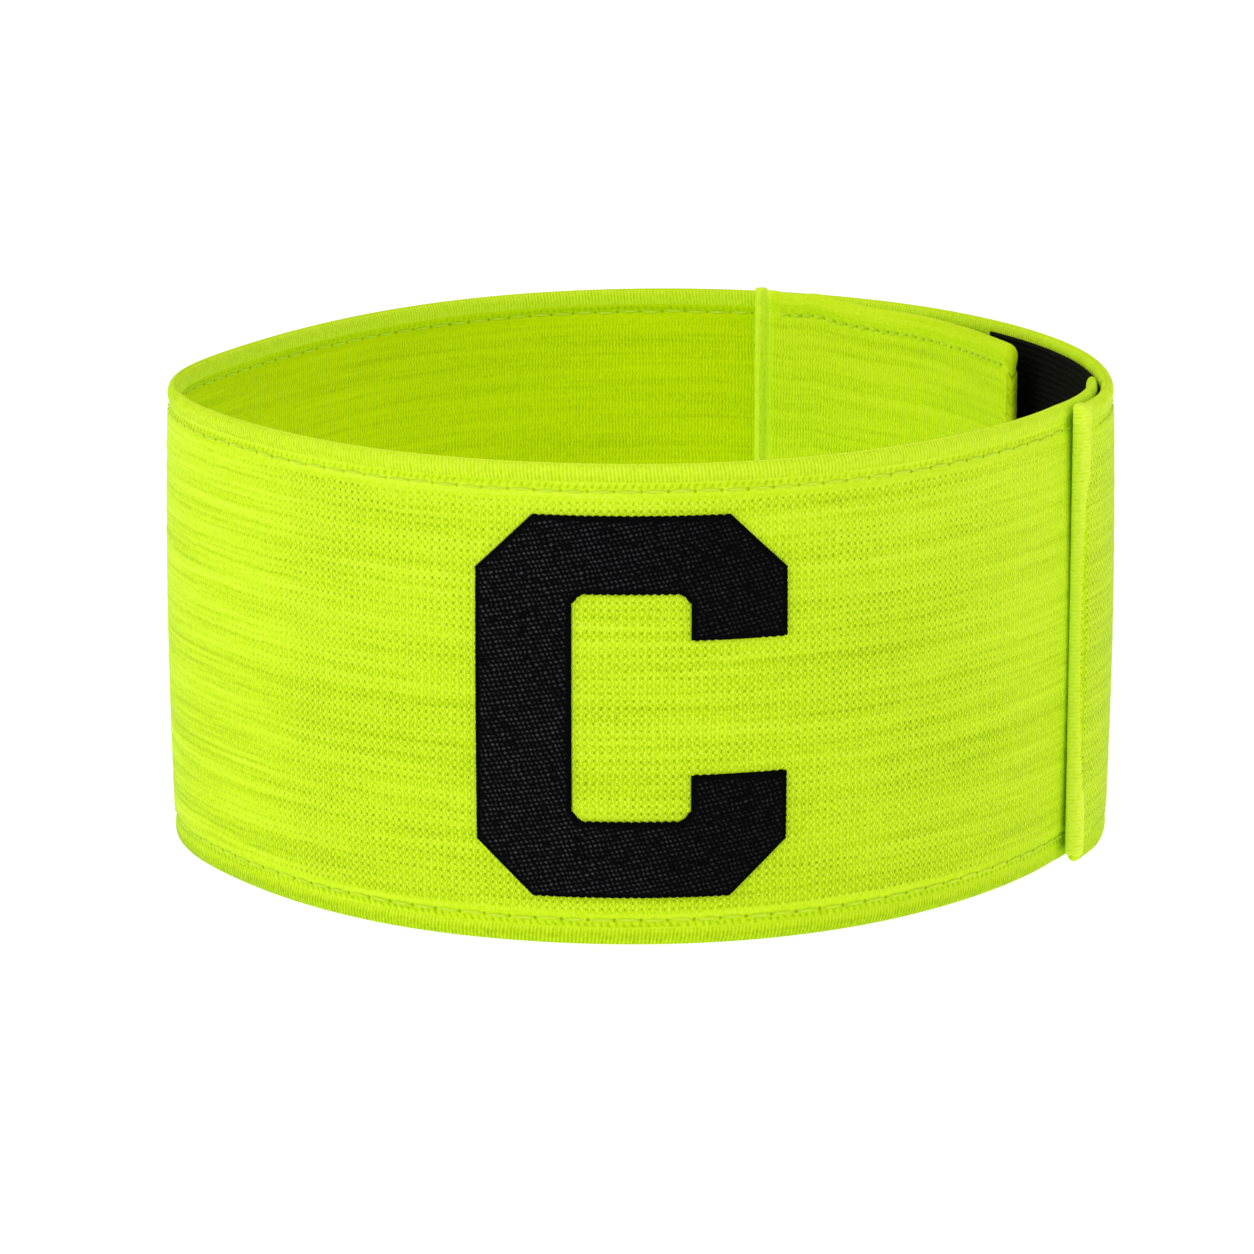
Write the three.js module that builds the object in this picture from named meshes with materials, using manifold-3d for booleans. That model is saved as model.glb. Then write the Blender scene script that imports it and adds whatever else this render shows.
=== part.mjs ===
// A captain's armband: one hemmed strip of knitted elastic, closed into a ring by a hook tab that
// laps over the strip's plain end, with a sewn flap inside the closure and a raised letter in front.
//
// Frame: millimetres, +Z up along the axis of the ring, Z = 0 where the lower hem stands, the letter
// towards -Y and the closure towards +X. The origin is under the middle of the ring.
// Places around the ring are in degrees from the front (-Y) towards +X.
// Offsets are in millimetres outwards from the ring's outline, which is the outer face of the
// strip's first turn.
import Module from "manifold-3d";
import * as THREE from "three";
import { mergeVertices } from "three/addons/utils/BufferGeometryUtils.js";

const wasm = await Module();
wasm.setup();

const { degToRad, radToDeg, smoothstep } = THREE.MathUtils;

// Driving dimensions of the ring and its strip
const RING_RADIUS = 56.5;
const STRAP_WIDTH = 55;
const WALL = 1.2;
const WALL_BOW = 0.35;
const CLEARANCE = 0.3;

// The rolled hems and the stitch lines beside them
const HEM_HEIGHT = 2.4;
const HEM_THICKNESS = 1.6;
const HEM_INSET = 0.1;
const STITCH_LINE = 3;
const STITCH_PULL = 0.25;
const STITCH_SPAN = 0.9;

// The closure tab, the tail under it and the hook tape between them
const TAB_END_ANGLE = 67.2;
const TAB_DIP = 0.4;
const OVERLAP = 19.8;
const CLIMB_ANGLE = 98;
const FOLD_WIDTH = 2.6;
const FOLD_THICKNESS = 2;
const HOOK_THICKNESS = 0.6;
const HOOK_LENGTH = 49.2;
const HOOK_FOOT = 1.2;
const HOOK_SETBACK = 10;

// The sewn flap inside the closure
const FLAP_SEAM_ANGLE = 165;
const FLAP_LENGTH = 50;
const FLAP_THICKNESS = 2;
const FLAP_INSET = 0.6;
const FLAP_EDGE = 2.2;
const FLAP_FREE_ANGLE = 148;
const FLAP_LIFT = 3.3;
const SEAM_WIDTH = 1.8;
const SEAM_SWELL = 0.45;
const SEAM_RISE = 1.3;

// The letter
const LETTER_WIDTH = 34.4;
const LETTER_HEIGHT = 43.6;
const LETTER_STEM = 10.6;
const LETTER_BAR = 8.8;
const LETTER_MOUTH = 15.4;
const LETTER_CHAMFER = 6.2;
const LETTER_NICK = 1.1;
const LETTER_THICKNESS = 0.4;
const LETTER_SHIFT = -1.1;

// Degrees between the stations of a sweep, and on each side of a place where its normal is taken
const STEP_ANGLE = 4;
const NORMAL_ANGLE = 0.5;

// The ring's outline from above, as the share of the ring's radius every 15 degrees. A smooth
// closed curve runs near these rows: flatter behind on the left, fuller behind on the right.
const OUTLINE_ROWS = [
  { angle: 0, share: 0.99 },
  { angle: 15, share: 0.98 },
  { angle: 30, share: 0.96 },
  { angle: 45, share: 0.94 },
  { angle: 60, share: 0.94 },
  { angle: 75, share: 0.955 },
  { angle: 90, share: 0.945 },
  { angle: 105, share: 0.945 },
  { angle: 120, share: 0.965 },
  { angle: 135, share: 1 },
  { angle: 150, share: 1.035 },
  { angle: 165, share: 1.05 },
  { angle: 180, share: 1.04 },
  { angle: 195, share: 1.01 },
  { angle: 210, share: 0.965 },
  { angle: 225, share: 0.925 },
  { angle: 240, share: 0.91 },
  { angle: 255, share: 0.93 },
  { angle: 270, share: 0.995 },
  { angle: 285, share: 1.01 },
  { angle: 300, share: 0.98 },
  { angle: 315, share: 0.98 },
  { angle: 330, share: 0.99 },
  { angle: 345, share: 0.99 },
];

// A rolled hem from its edge inwards. rise: share of the hem's height; fill: share of its thickness
const HEM_ROWS = [
  { rise: 0, fill: 0.42 },
  { rise: 0.2, fill: 0.84 },
  { rise: 0.55, fill: 1 },
  { rise: 0.9, fill: 0.84 },
];

// The slight outward bow of the strip between its hems. height: share of the strip's width
const BOW_ROWS = [
  { height: 0.25, share: 0.75 },
  { height: 0.5, share: 1 },
  { height: 0.75, share: 0.75 },
];

// The tab's folded end. back: share of the fold's width from the end; folded: share of the way from
// the strip's section to the fold's, below zero in the stitch groove; fill: share of the thickness
const FOLD_ROWS = [
  { back: 0, folded: 1, fill: 0.35 },
  { back: 0.1, folded: 1, fill: 0.75 },
  { back: 0.38, folded: 1, fill: 1 },
  { back: 0.74, folded: 0.6, fill: 1 },
  { back: 1, folded: -0.3, fill: 1 },
  { back: 1.3, folded: 0, fill: 1 },
];

// The tail's cut end, and the flap's rounded free end: distance back as a share of the thickness
const NOSE_ROWS = [
  { back: 0, fill: 0.35 },
  { back: 0.15, fill: 0.78 },
  { back: 0.5, fill: 1 },
];

// The flap's long edges. rise: share of the edge's height; fill: share of the flap's thickness
const FLAP_ROWS = [
  { rise: 0, fill: 0.4 },
  { rise: 0.25, fill: 0.85 },
  { rise: 0.6, fill: 1 },
  { rise: 0.9, fill: 0.72 },
  { rise: 1.3, fill: 0.96 },
];

// The raised seam at the flap's sewn end. back: share of the seam's width from the end
const SEAM_ROWS = [
  { back: 0, swell: 1, fill: 0.4 },
  { back: 0.25, swell: 1, fill: 0.9 },
  { back: 0.6, swell: 1, fill: 1 },
  { back: 1, swell: -0.5, fill: 1 },
  { back: 1.4, swell: 0, fill: 1 },
];

const tapeBlack = new THREE.MeshStandardMaterial({ color: 0x17181a, roughness: 0.95, metalness: 0 });
const letterBlack = new THREE.MeshStandardMaterial({ color: 0x1b1b1f, roughness: 0.6, metalness: 0 });
const neonKnit = new THREE.MeshStandardMaterial({ color: 0xc4ef1a, roughness: 0.85, metalness: 0 });

const arc = (length) => radToDeg(length / RING_RADIUS);

const TAIL_TIP_ANGLE = TAB_END_ANGLE + arc(OVERLAP);
const HOOK_START_ANGLE = TAB_END_ANGLE + arc(HOOK_SETBACK);
const HOOK_END_ANGLE = HOOK_START_ANGLE + arc(HOOK_LENGTH);
const FLAP_END_ANGLE = FLAP_SEAM_ANGLE - arc(FLAP_LENGTH);
const TURN = 360;

// The strip's innermost reach, at its hems
const STRIP_DEPTH = HEM_INSET + HEM_THICKNESS;

// Distance between the two turns of the strip where they lap: the hook tape fits between them
const LAYER_STEP = STRIP_DEPTH + HOOK_THICKNESS + 2 * CLEARANCE;

// The flap stands a little short of the strip's edges
const FLAP_WIDTH = STRAP_WIDTH - 2 * FLAP_INSET;

// Radius of the outline: the rows weighted by a uniform cubic B-spline
function outlineRadius(angle) {
  const count = OUTLINE_ROWS.length;
  const place = THREE.MathUtils.euclideanModulo(angle, TURN) / (TURN / count);
  const first = Math.floor(place);
  const t = place - first;
  const weights = [
    (1 - t) ** 3,
    3 * t ** 3 - 6 * t ** 2 + 4,
    -3 * t ** 3 + 3 * t ** 2 + 3 * t + 1,
    t ** 3,
  ];
  const share = weights.reduce(
    (sum, weight, i) => sum + (weight / 6) * OUTLINE_ROWS[(first + i - 1 + count) % count].share,
    0,
  );
  return RING_RADIUS * share;
}

function outlinePoint(angle) {
  const radius = outlineRadius(angle);
  return new THREE.Vector2(radius * Math.sin(degToRad(angle)), -radius * Math.cos(degToRad(angle)));
}

// A point of the outline and the outward normal there
function outlineFrame(angle) {
  const along = outlinePoint(angle + NORMAL_ANGLE).sub(outlinePoint(angle - NORMAL_ANGLE)).normalize();
  return { point: outlinePoint(angle), normal: new THREE.Vector2(along.y, -along.x) };
}

// A section is a list of levels from bottom to top, each with a height and the offsets of its faces
const level = (z, middle, thickness) => ({
  z,
  outer: middle + thickness / 2,
  inner: middle - thickness / 2,
});

const mirrored = (levels, width) => levels.map((row) => ({ ...row, z: width - row.z })).reverse();

function strapSection({ wall = WALL, hem = HEM_THICKNESS, pull = STITCH_PULL } = {}) {
  const hemMiddle = -HEM_INSET - hem / 2;
  const lower = [
    ...HEM_ROWS.map(({ rise, fill }) => level(rise * HEM_HEIGHT, hemMiddle, fill * hem)),
    level(STITCH_LINE, -wall / 2, wall - 2 * pull),
    level(STITCH_LINE + STITCH_SPAN, -wall / 2, wall),
  ];
  const middle = BOW_ROWS.map(({ height, share }) =>
    level(height * STRAP_WIDTH, share * WALL_BOW - wall / 2, wall),
  );
  return [...lower, ...middle, ...mirrored(lower, STRAP_WIDTH)];
}

function flapSection() {
  const lower = FLAP_ROWS.map(({ rise, fill }) =>
    level(rise * FLAP_EDGE, -FLAP_THICKNESS / 2, fill * FLAP_THICKNESS),
  );
  return raised([...lower, ...mirrored(lower, FLAP_WIDTH)], FLAP_INSET);
}

const raised = (levels, height) => levels.map((row) => ({ ...row, z: row.z + height }));

// Moves a section outwards, swells both its faces, then narrows it about its own middle
const reshaped = (levels, { lift = 0, swell = 0, fill = 1 }) =>
  levels.map(({ z, outer, inner }) =>
    level(z, lift + (outer + inner) / 2, fill * (outer - inner + 2 * swell)),
  );

// A section part of the way from one to another of the same heights
const blended = (from, to, share) =>
  from.map(({ z, outer, inner }, i) => ({
    z,
    outer: THREE.MathUtils.lerp(outer, to[i].outer, share),
    inner: THREE.MathUtils.lerp(inner, to[i].inner, share),
  }));

// Offset of the strip's outer face: its second turn climbs over the first between the flap's seam
// and the tail, and its end dips a little towards the first
const stripLift = (angle) =>
  LAYER_STEP * (1 - smoothstep(angle, CLIMB_ANGLE - TURN, FLAP_SEAM_ANGLE - TURN))
  - TAB_DIP * (1 - smoothstep(angle, TAB_END_ANGLE - TURN, HOOK_START_ANGLE - TURN));

// Offset of the flap's outer face: against the strip at the seam, and standing clear at the free end
const flapLift = (angle) =>
  stripLift(angle - TURN) - STRIP_DEPTH - CLEARANCE
  - FLAP_LIFT * (1 - smoothstep(angle, FLAP_END_ANGLE, FLAP_FREE_ANGLE));

// Evenly spaced angles strictly between two ends
function between(from, to) {
  const count = Math.max(2, Math.round((to - from) / STEP_ANGLE));
  return Array.from({ length: count - 1 }, (_, i) => from + ((i + 1) * (to - from)) / count);
}

// Joins stations of one section each, in order of angle, into a closed solid
function sweep(stations) {
  const size = stations[0].levels.length;
  const positions = stations.flatMap(({ angle, levels }) => {
    const { point, normal } = outlineFrame(angle);
    const place = (offset, z) => [point.x + normal.x * offset, point.y + normal.y * offset, z];
    return [
      ...levels.flatMap(({ outer, z }) => place(outer, z)),
      ...levels.flatMap(({ inner, z }) => place(inner, z)),
    ];
  });
  const outer = (station, row) => station * 2 * size + row;
  const inner = (station, row) => outer(station, row) + size;
  const faces = [];
  const quad = (a, b, c, d) => faces.push(a, b, c, a, c, d);
  const last = stations.length - 1;
  for (let i = 0; i < last; i += 1) {
    for (let k = 0; k < size - 1; k += 1) {
      quad(outer(i, k), outer(i + 1, k), outer(i + 1, k + 1), outer(i, k + 1));
      quad(inner(i, k + 1), inner(i + 1, k + 1), inner(i + 1, k), inner(i, k));
    }
    quad(inner(i, 0), inner(i + 1, 0), outer(i + 1, 0), outer(i, 0));
    quad(outer(i, size - 1), outer(i + 1, size - 1), inner(i + 1, size - 1), inner(i, size - 1));
  }
  for (let k = 0; k < size - 1; k += 1) {
    quad(inner(0, k), outer(0, k), outer(0, k + 1), inner(0, k + 1));
    quad(outer(last, k), inner(last, k), inner(last, k + 1), outer(last, k + 1));
  }
  const geometry = new THREE.BufferGeometry();
  geometry.setAttribute("position", new THREE.Float32BufferAttribute(positions, 3));
  geometry.setIndex(faces);
  return geometry;
}

// The strip, from the tab's folded end round the back, the left and the front to the tail's tip
function elasticBand() {
  const section = strapSection();
  const fold = strapSection({ wall: FOLD_THICKNESS, hem: FOLD_THICKNESS, pull: 0 });
  const tabEnd = TAB_END_ANGLE - TURN;
  const end = FOLD_ROWS.map(({ back, folded, fill }) => ({
    angle: tabEnd + arc(back * FOLD_WIDTH),
    folded,
    fill,
  }));
  const tip = NOSE_ROWS.map(({ back, fill }) => ({
    angle: TAIL_TIP_ANGLE - arc(back * WALL),
    fill,
  })).reverse();
  const run = between(end.at(-1).angle, tip[0].angle).map((angle) => ({ angle }));
  return sweep(
    [...end, ...run, ...tip].map(({ angle, folded = 0, fill }) => ({
      angle,
      levels: reshaped(blended(section, fold, folded), { lift: stripLift(angle), fill }),
    })),
  );
}

// The flap, from its free end to the raised seam, which also stands above the strip's edge
function innerFlap() {
  const section = flapSection();
  const foot = section[0].z;
  const free = NOSE_ROWS.map(({ back, fill }) => ({
    angle: FLAP_END_ANGLE + arc(back * FLAP_THICKNESS),
    fill,
  }));
  const seam = SEAM_ROWS.map(({ back, swell, fill }) => ({
    angle: FLAP_SEAM_ANGLE - arc(back * SEAM_WIDTH),
    swell: swell * SEAM_SWELL,
    fill,
    rise: Math.max(swell, 0) * SEAM_RISE,
  })).reverse();
  const run = between(free.at(-1).angle, seam[0].angle).map((angle) => ({ angle }));
  return sweep(
    [...free, ...run, ...seam].map(({ angle, swell = 0, fill, rise = 0 }) => {
      const lift = flapLift(angle) - Math.max(swell, 0);
      const levels = reshaped(section, { lift, swell, fill });
      const taller = (z) => z + (rise * (z - foot)) / FLAP_WIDTH;
      return { angle, levels: levels.map((row) => ({ ...row, z: taller(row.z) })) };
    }),
  );
}

// The hook tape: a plain strip just inside the tab, standing a little short of its edges
function hookPatch() {
  const middle = -STRIP_DEPTH - CLEARANCE - HOOK_THICKNESS / 2;
  const section = [
    level(HOOK_FOOT, middle, HOOK_THICKNESS),
    ...BOW_ROWS.map(({ height, share }) =>
      level(height * STRAP_WIDTH, middle + share * WALL_BOW, HOOK_THICKNESS),
    ),
    level(STRAP_WIDTH - HOOK_FOOT, middle, HOOK_THICKNESS),
  ];
  const angles = [HOOK_START_ANGLE, ...between(HOOK_START_ANGLE, HOOK_END_ANGLE), HOOK_END_ANGLE];
  return sweep(
    angles.map((angle) => ({ angle, levels: reshaped(section, { lift: stripLift(angle - TURN) }) })),
  );
}

// A closed geometry as a solid that can be joined and cut
function solidOf(geometry) {
  const bare = geometry.clone();
  bare.deleteAttribute("normal");
  bare.deleteAttribute("uv");
  const merged = mergeVertices(bare);
  return new wasm.Manifold(
    new wasm.Mesh({
      numProp: 3,
      vertProperties: new Float32Array(merged.attributes.position.array),
      triVerts: new Uint32Array(merged.index.array),
    }),
  );
}

function geometryOf(solid) {
  const mesh = solid.getMesh();
  const geometry = new THREE.BufferGeometry();
  geometry.setAttribute("position", new THREE.BufferAttribute(mesh.vertProperties, 3));
  geometry.setIndex(new THREE.BufferAttribute(mesh.triVerts, 1));
  return geometry;
}

// The letter's outline, standing upright about its own middle: a block C with cut corners
function letterShape() {
  const right = LETTER_WIDTH / 2;
  const top = LETTER_HEIGHT / 2;
  const stem = LETTER_STEM - right;
  const tip = right - LETTER_STEM;
  const bar = top - LETTER_BAR;
  const mouth = LETTER_MOUTH / 2;
  const upper = [
    [-right, top - LETTER_CHAMFER],
    [LETTER_CHAMFER - right, top],
    [right - LETTER_CHAMFER, top],
    [right, top - LETTER_CHAMFER],
    [right, mouth],
    [tip, mouth],
    [tip, bar - LETTER_NICK],
    [tip - LETTER_NICK, bar],
    [stem + LETTER_NICK, bar],
    [stem, bar - LETTER_NICK],
  ];
  const lower = upper.map(([x, y]) => [x, -y]).reverse();
  return new THREE.Shape([...upper, ...lower].map(([x, y]) => new THREE.Vector2(x, y)));
}

// The letter: its outline carried back through a thin shell that follows the front of the strip
function letterC() {
  const shell = strapSection()
    .filter(({ z }) => z > STITCH_LINE && z < STRAP_WIDTH - STITCH_LINE)
    .map(({ z, outer }) => level(z, outer + CLEARANCE + LETTER_THICKNESS / 2, LETTER_THICKNESS));
  const reach = arc(LETTER_WIDTH);
  const angles = [-reach, ...between(-reach, reach), reach];
  const skin = sweep(angles.map((angle) => ({ angle, levels: shell })));
  const block = new THREE.ExtrudeGeometry(letterShape(), { depth: RING_RADIUS, bevelEnabled: false });
  block.rotateX(Math.PI / 2);
  block.translate(LETTER_SHIFT, -RING_RADIUS / 2, STRAP_WIDTH / 2);
  return geometryOf(solidOf(skin).intersect(solidOf(block)));
}

function piece(name, geometry, material) {
  geometry.computeVertexNormals();
  const mesh = new THREE.Mesh(geometry, material);
  mesh.name = name;
  return mesh;
}

const ring = new THREE.Group();
ring.add(
  piece("elastic_band", elasticBand(), neonKnit),
  piece("inner_flap", innerFlap(), neonKnit),
  piece("hook_patch", hookPatch(), tapeBlack),
  piece("letter_c", letterC(), letterBlack),
);

// The ring stands with the middle of its box over the origin
const middle = new THREE.Box3().setFromObject(ring).getCenter(new THREE.Vector3());
ring.position.set(-middle.x, -middle.y, 0);

const group = new THREE.Group();
group.add(ring);

export default group;
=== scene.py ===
"""Looks of a captain's armband: a hemmed strip of neon knitted elastic closed into a ring.

The strip starts as a plain tail inside the closure, runs round the front, the left and the back, and
comes round again outside as a tab with a folded end. A doubled flap is sewn inside the closure, black
hook tape lies under the tab, and a black block letter is sewn on the front.

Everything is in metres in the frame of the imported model: +Z up, the letter towards -Y, the closure
towards +X. A place round the ring is an angle in degrees from the front towards +X. An offset is
a distance outwards from the ring's outline, which is the outer face of the strip's first turn.
"""

import logging
import math
from dataclasses import dataclass
from enum import Enum
from typing import Any

import bpy
import numpy as np
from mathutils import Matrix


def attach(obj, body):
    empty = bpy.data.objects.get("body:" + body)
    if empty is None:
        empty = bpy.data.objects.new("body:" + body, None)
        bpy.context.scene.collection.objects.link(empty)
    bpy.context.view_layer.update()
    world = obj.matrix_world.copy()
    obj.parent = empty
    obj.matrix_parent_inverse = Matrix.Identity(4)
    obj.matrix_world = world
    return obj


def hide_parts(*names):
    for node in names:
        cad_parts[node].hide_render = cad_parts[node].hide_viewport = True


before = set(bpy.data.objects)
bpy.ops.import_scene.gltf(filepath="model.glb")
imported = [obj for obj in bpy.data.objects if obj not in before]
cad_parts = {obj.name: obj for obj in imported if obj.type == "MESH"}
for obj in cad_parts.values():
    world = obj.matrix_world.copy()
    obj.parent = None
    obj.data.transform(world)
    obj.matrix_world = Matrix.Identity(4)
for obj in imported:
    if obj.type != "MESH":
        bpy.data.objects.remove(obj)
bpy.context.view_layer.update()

LOG = logging.getLogger("armband")

MM = 0.001
FULL_TURN = 360.0
QUARTER = math.pi / 2
BODY = "root"
CLOTH_UV = "cloth"
INSIDE = "inside"
SEED = 7
# A sweep is never thinner than this share of its section, so that its end faces stay whole.
THINNEST = 0.03

Array = np.ndarray
Piece = bpy.types.Object
Colour = tuple[float, float, float, float]
Span = tuple[float, float]


def smoothstep(values: Array, low: Array | float, high: Array | float) -> Array:
    """Eases from 0 to 1: 3t^2 - 2t^3, with t the share of the way from low to high.

    Args:
        values: where to work it out.
        low: where it is 0.
        high: where it is 1.

    Returns:
        The eased share at each value.
    """
    t = np.clip((values - low) / (high - low), 0, 1)
    return t * t * (3 - 2 * t)


def eased(values: Array, rows: list[tuple[float, float]]) -> Array:
    """Passes level through each place and height, and eases between them.

    Args:
        values: where to work it out.
        rows: a place and the height there, the places rising.

    Returns:
        The height at each value.
    """
    places, heights = np.asarray(rows, float).T
    at = np.clip(np.searchsorted(places, values, side="right") - 1, 0, len(places) - 2)
    return heights[at] + (heights[at + 1] - heights[at]) * smoothstep(values, places[at], places[at + 1])


def rounded(depth: Array, radius: float) -> Array:
    """Height of a quarter circle: sqrt(1 - (1 - d/r)^2) up to the radius, and 1 beyond it."""
    return np.sqrt(np.clip(1 - (1 - np.clip(depth / radius, 0, 1)) ** 2, 0, 1))


def rim_steps(reach: float, count: int, first: float = 0.0) -> Array:
    """Rising distances round an edge: reach (1 - cos a), with a from the first angle to a quarter turn."""
    return reach * (1 - np.cos(np.linspace(first, QUARTER, count)))


def bump_at(values: Array, place: float, spread: float) -> Array:
    """A bell over a place: exp(-(d / spread)^2), with d the distance from it."""
    return np.exp(-(((values - place) / spread) ** 2))


@dataclass(frozen=True)
class Ripples:
    """Long shallow ripples: the mean of some sines across, each bent by a slow sine along."""

    waves: int
    long: float
    short: float
    seed: int
    wanders: Span = (0.7, 1.6)
    crests: Span = (1, 2.6)
    bend: float = 1.3

    def at(self, along: Array, across: Array) -> Array:
        """Height of the ripples.

        Args:
            along: distance in the direction in which the ripples run.
            across: distance across them.

        Returns:
            The height, between -1 and 1.
        """
        draw = np.random.default_rng(self.seed)
        total = np.zeros(np.broadcast(along, across).shape)
        for _ in range(self.waves):
            crest = self.short * draw.uniform(*self.crests)
            wander = self.long * draw.uniform(*self.wanders)
            start, phase = draw.uniform(0, math.tau, 2)
            bent = self.bend * np.sin(math.tau * along / wander + phase)
            total += np.sin(math.tau * across / crest + start + bent)
        return total / self.waves


@dataclass(frozen=True)
class RingOutline:
    """The ring from above, as shares of its radius every few degrees."""

    radius: float = 56.5 * MM
    middle: Span = (-0.1433 * MM, -1.1001 * MM)
    shares: tuple[float, ...] = (
        0.99, 0.98, 0.96, 0.94, 0.94, 0.955, 0.945, 0.945, 0.965, 1.0, 1.035, 1.05,
        1.04, 1.01, 0.965, 0.925, 0.91, 0.93, 0.995, 1.01, 0.98, 0.98, 0.99, 0.99,
    )

    def points(self, angles: Array) -> Array:
        """Points of the outline: a closed uniform cubic B-spline of the radii.

        Args:
            angles: degrees from the front.

        Returns:
            One x and y for each angle.
        """
        count = len(self.shares)
        place = np.mod(angles, FULL_TURN) * count / FULL_TURN
        first = np.floor(place).astype(int)
        t = place - first
        weights = np.stack([
            (1 - t) ** 3, 3 * t**3 - 6 * t**2 + 4, -3 * t**3 + 3 * t**2 + 3 * t + 1, t**3,
        ])
        rows = np.stack([np.take(self.shares, (first + i) % count) for i in (-1, 0, 1, 2)])
        radii = self.radius * (weights * rows).sum(axis=0) / 6
        turn = np.radians(angles)
        x, y = self.middle
        return np.stack([x + radii * np.sin(turn), y - radii * np.cos(turn)], axis=-1)

    def normals(self, angles: Array) -> Array:
        """Outward unit normals of the outline: its tangent turned by a quarter turn.

        Args:
            angles: degrees from the front.

        Returns:
            One x and y for each angle.
        """
        along = self.points(angles + 0.5) - self.points(angles - 0.5)
        normals = np.stack([along[..., 1], -along[..., 0]], axis=-1)
        return normals / np.linalg.norm(normals, axis=-1, keepdims=True)

    def place(self, angles: Array, offsets: Array, heights: Array) -> Array:
        """Points in space.

        Args:
            angles: degrees from the front.
            offsets: distances outwards from the outline.
            heights: heights. The three are broadcast together.

        Returns:
            One x, y and z for each place.
        """
        angles, offsets, heights = np.broadcast_arrays(angles, offsets, heights)
        flat = self.points(angles) + self.normals(angles) * offsets[..., None]
        return np.concatenate([flat, heights[..., None]], axis=-1)

    def degrees(self, length: float) -> float:
        """The angle that a length takes up on a circle of the ring's radius."""
        return math.degrees(length / self.radius)

    def lengths(self, angles: Array) -> Array:
        """Distance along the outline from the front.

        Args:
            angles: rising angles. Where they don't reach the front, the distance is from the first.

        Returns:
            The distance to each angle.
        """
        steps = np.linalg.norm(np.diff(self.points(angles), axis=0), axis=1)
        run = np.concatenate([[0.0], np.cumsum(steps)])
        return run - np.interp(0.0, angles, run)


@dataclass(frozen=True)
class RingPlan:
    """The sizes that the pieces share: the solids' own, and the tail's lean, which only the cloth has."""

    outline: RingOutline = RingOutline()
    width: float = 55 * MM
    wall: float = 1.2 * MM
    bow: float = 0.35 * MM
    clearance: float = 0.3 * MM
    hem_height: float = 2.4 * MM
    hem_thickness: float = 1.6 * MM
    hem_inset: float = 0.1 * MM
    stitch_line: float = 3 * MM
    stitch_pull: float = 0.25 * MM
    stitch_span: float = 0.9 * MM
    tab_end: float = 67.2
    tab_dip: float = 0.4 * MM
    tail_hug: float = 1.12 * MM
    climb: float = 98.0
    overlap: float = 19.8 * MM
    hook_thickness: float = 0.6 * MM
    hook_length: float = 49.2 * MM
    hook_foot: float = 1.2 * MM
    hook_setback: float = 10 * MM
    flap_seam: float = 165.0

    @property
    def tail_tip(self) -> float:
        """Angle of the strip's plain inner end."""
        return self.tab_end + self.outline.degrees(self.overlap)

    @property
    def hook_start(self) -> float:
        """Angle at which the hook tape begins."""
        return self.tab_end + self.outline.degrees(self.hook_setback)

    @property
    def strip_depth(self) -> float:
        """The strip's innermost reach, at its hems."""
        return self.hem_inset + self.hem_thickness

    @property
    def layer_step(self) -> float:
        """Distance between the two turns of the strip where they lap."""
        return self.strip_depth + self.hook_thickness + 2 * self.clearance

    def strip_lift(self, angles: Array) -> Array:
        """Offset of the strip's outer face.

        It is one layer up over the tail and dips at the tab's end. The tail leans outwards by a quarter
        sine, from just before the tab's end to its own tip.

        Args:
            angles: from the tab's end, a turn before the front, up to the tail's tip.

        Returns:
            The offset at each angle.
        """
        climb = smoothstep(angles, self.climb - FULL_TURN, self.flap_seam - FULL_TURN)
        dip = smoothstep(angles, self.tab_end - FULL_TURN, self.hook_start - FULL_TURN)
        share = np.clip((angles - self.tab_end + 1) / (self.tail_tip - self.tab_end + 1), 0, 1)
        hug = self.tail_hug * np.sin(share * QUARTER)
        return self.layer_step * (1 - climb) - self.tab_dip * (1 - dip) + hug

    def bulge(self, heights: Array) -> Array:
        """Outward bow of the cloth between its stitch lines: a quarter sine from each of them.

        Args:
            heights: heights above the lower edge.

        Returns:
            The bow at each height.
        """
        foot = self.stitch_line + self.stitch_span
        depth = np.minimum(heights, self.width - heights)
        share = np.clip((depth - foot) / (self.width / 2 - foot), 0, 1)
        return self.bow * np.sin(share * QUARTER)


@dataclass(frozen=True)
class Section:
    """A cross-section: at each height, the middle and the half thickness of the cloth.

    The middles and the halves may have one row for each station, when the section changes.
    """

    heights: Array
    middles: Array
    halves: Array

    def loop(self) -> tuple[Array, Array, Array]:
        """The closed loop up the outer face and down the inner face.

        Returns:
            Heights, middles and signed half thicknesses round the loop.
        """
        return (
            np.concatenate([self.heights, self.heights[::-1]]),
            np.concatenate([self.middles, self.middles[..., ::-1]], axis=-1),
            np.concatenate([self.halves, -self.halves[..., ::-1]], axis=-1),
        )


@dataclass(frozen=True)
class Stations:
    """Where a section is carried to: at each angle its lift, swelling, fill, rise and trim.

    The rise lifts the upper edge, and the trim draws both edges in.
    """

    angles: Array
    lift: Array
    swell: Array
    fill: Array
    rise: Array
    trim: Array


@dataclass(frozen=True)
class HeightSteps:
    """How a hemmed section is divided: 1 - cos steps round each edge, fine ones in the hem, then coarse."""

    edge: float
    hem: float
    fine: float
    coarse: float
    first: float = 0.12
    count: int = 9

    def divide(self, width: float) -> Array:
        """Divides a width.

        Args:
            width: height of the whole section.

        Returns:
            Rising heights, the same from both edges.
        """
        cap = rim_steps(self.edge, self.count, self.first)
        close = np.linspace(self.edge, self.hem, max(2, round((self.hem - self.edge) / self.fine)) + 1)
        lower = np.concatenate([cap, close[1:]])
        between = np.linspace(self.hem, width - self.hem, round((width - 2 * self.hem) / self.coarse) + 1)
        return np.concatenate([lower, between[1:-1], width - lower[::-1]])


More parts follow.
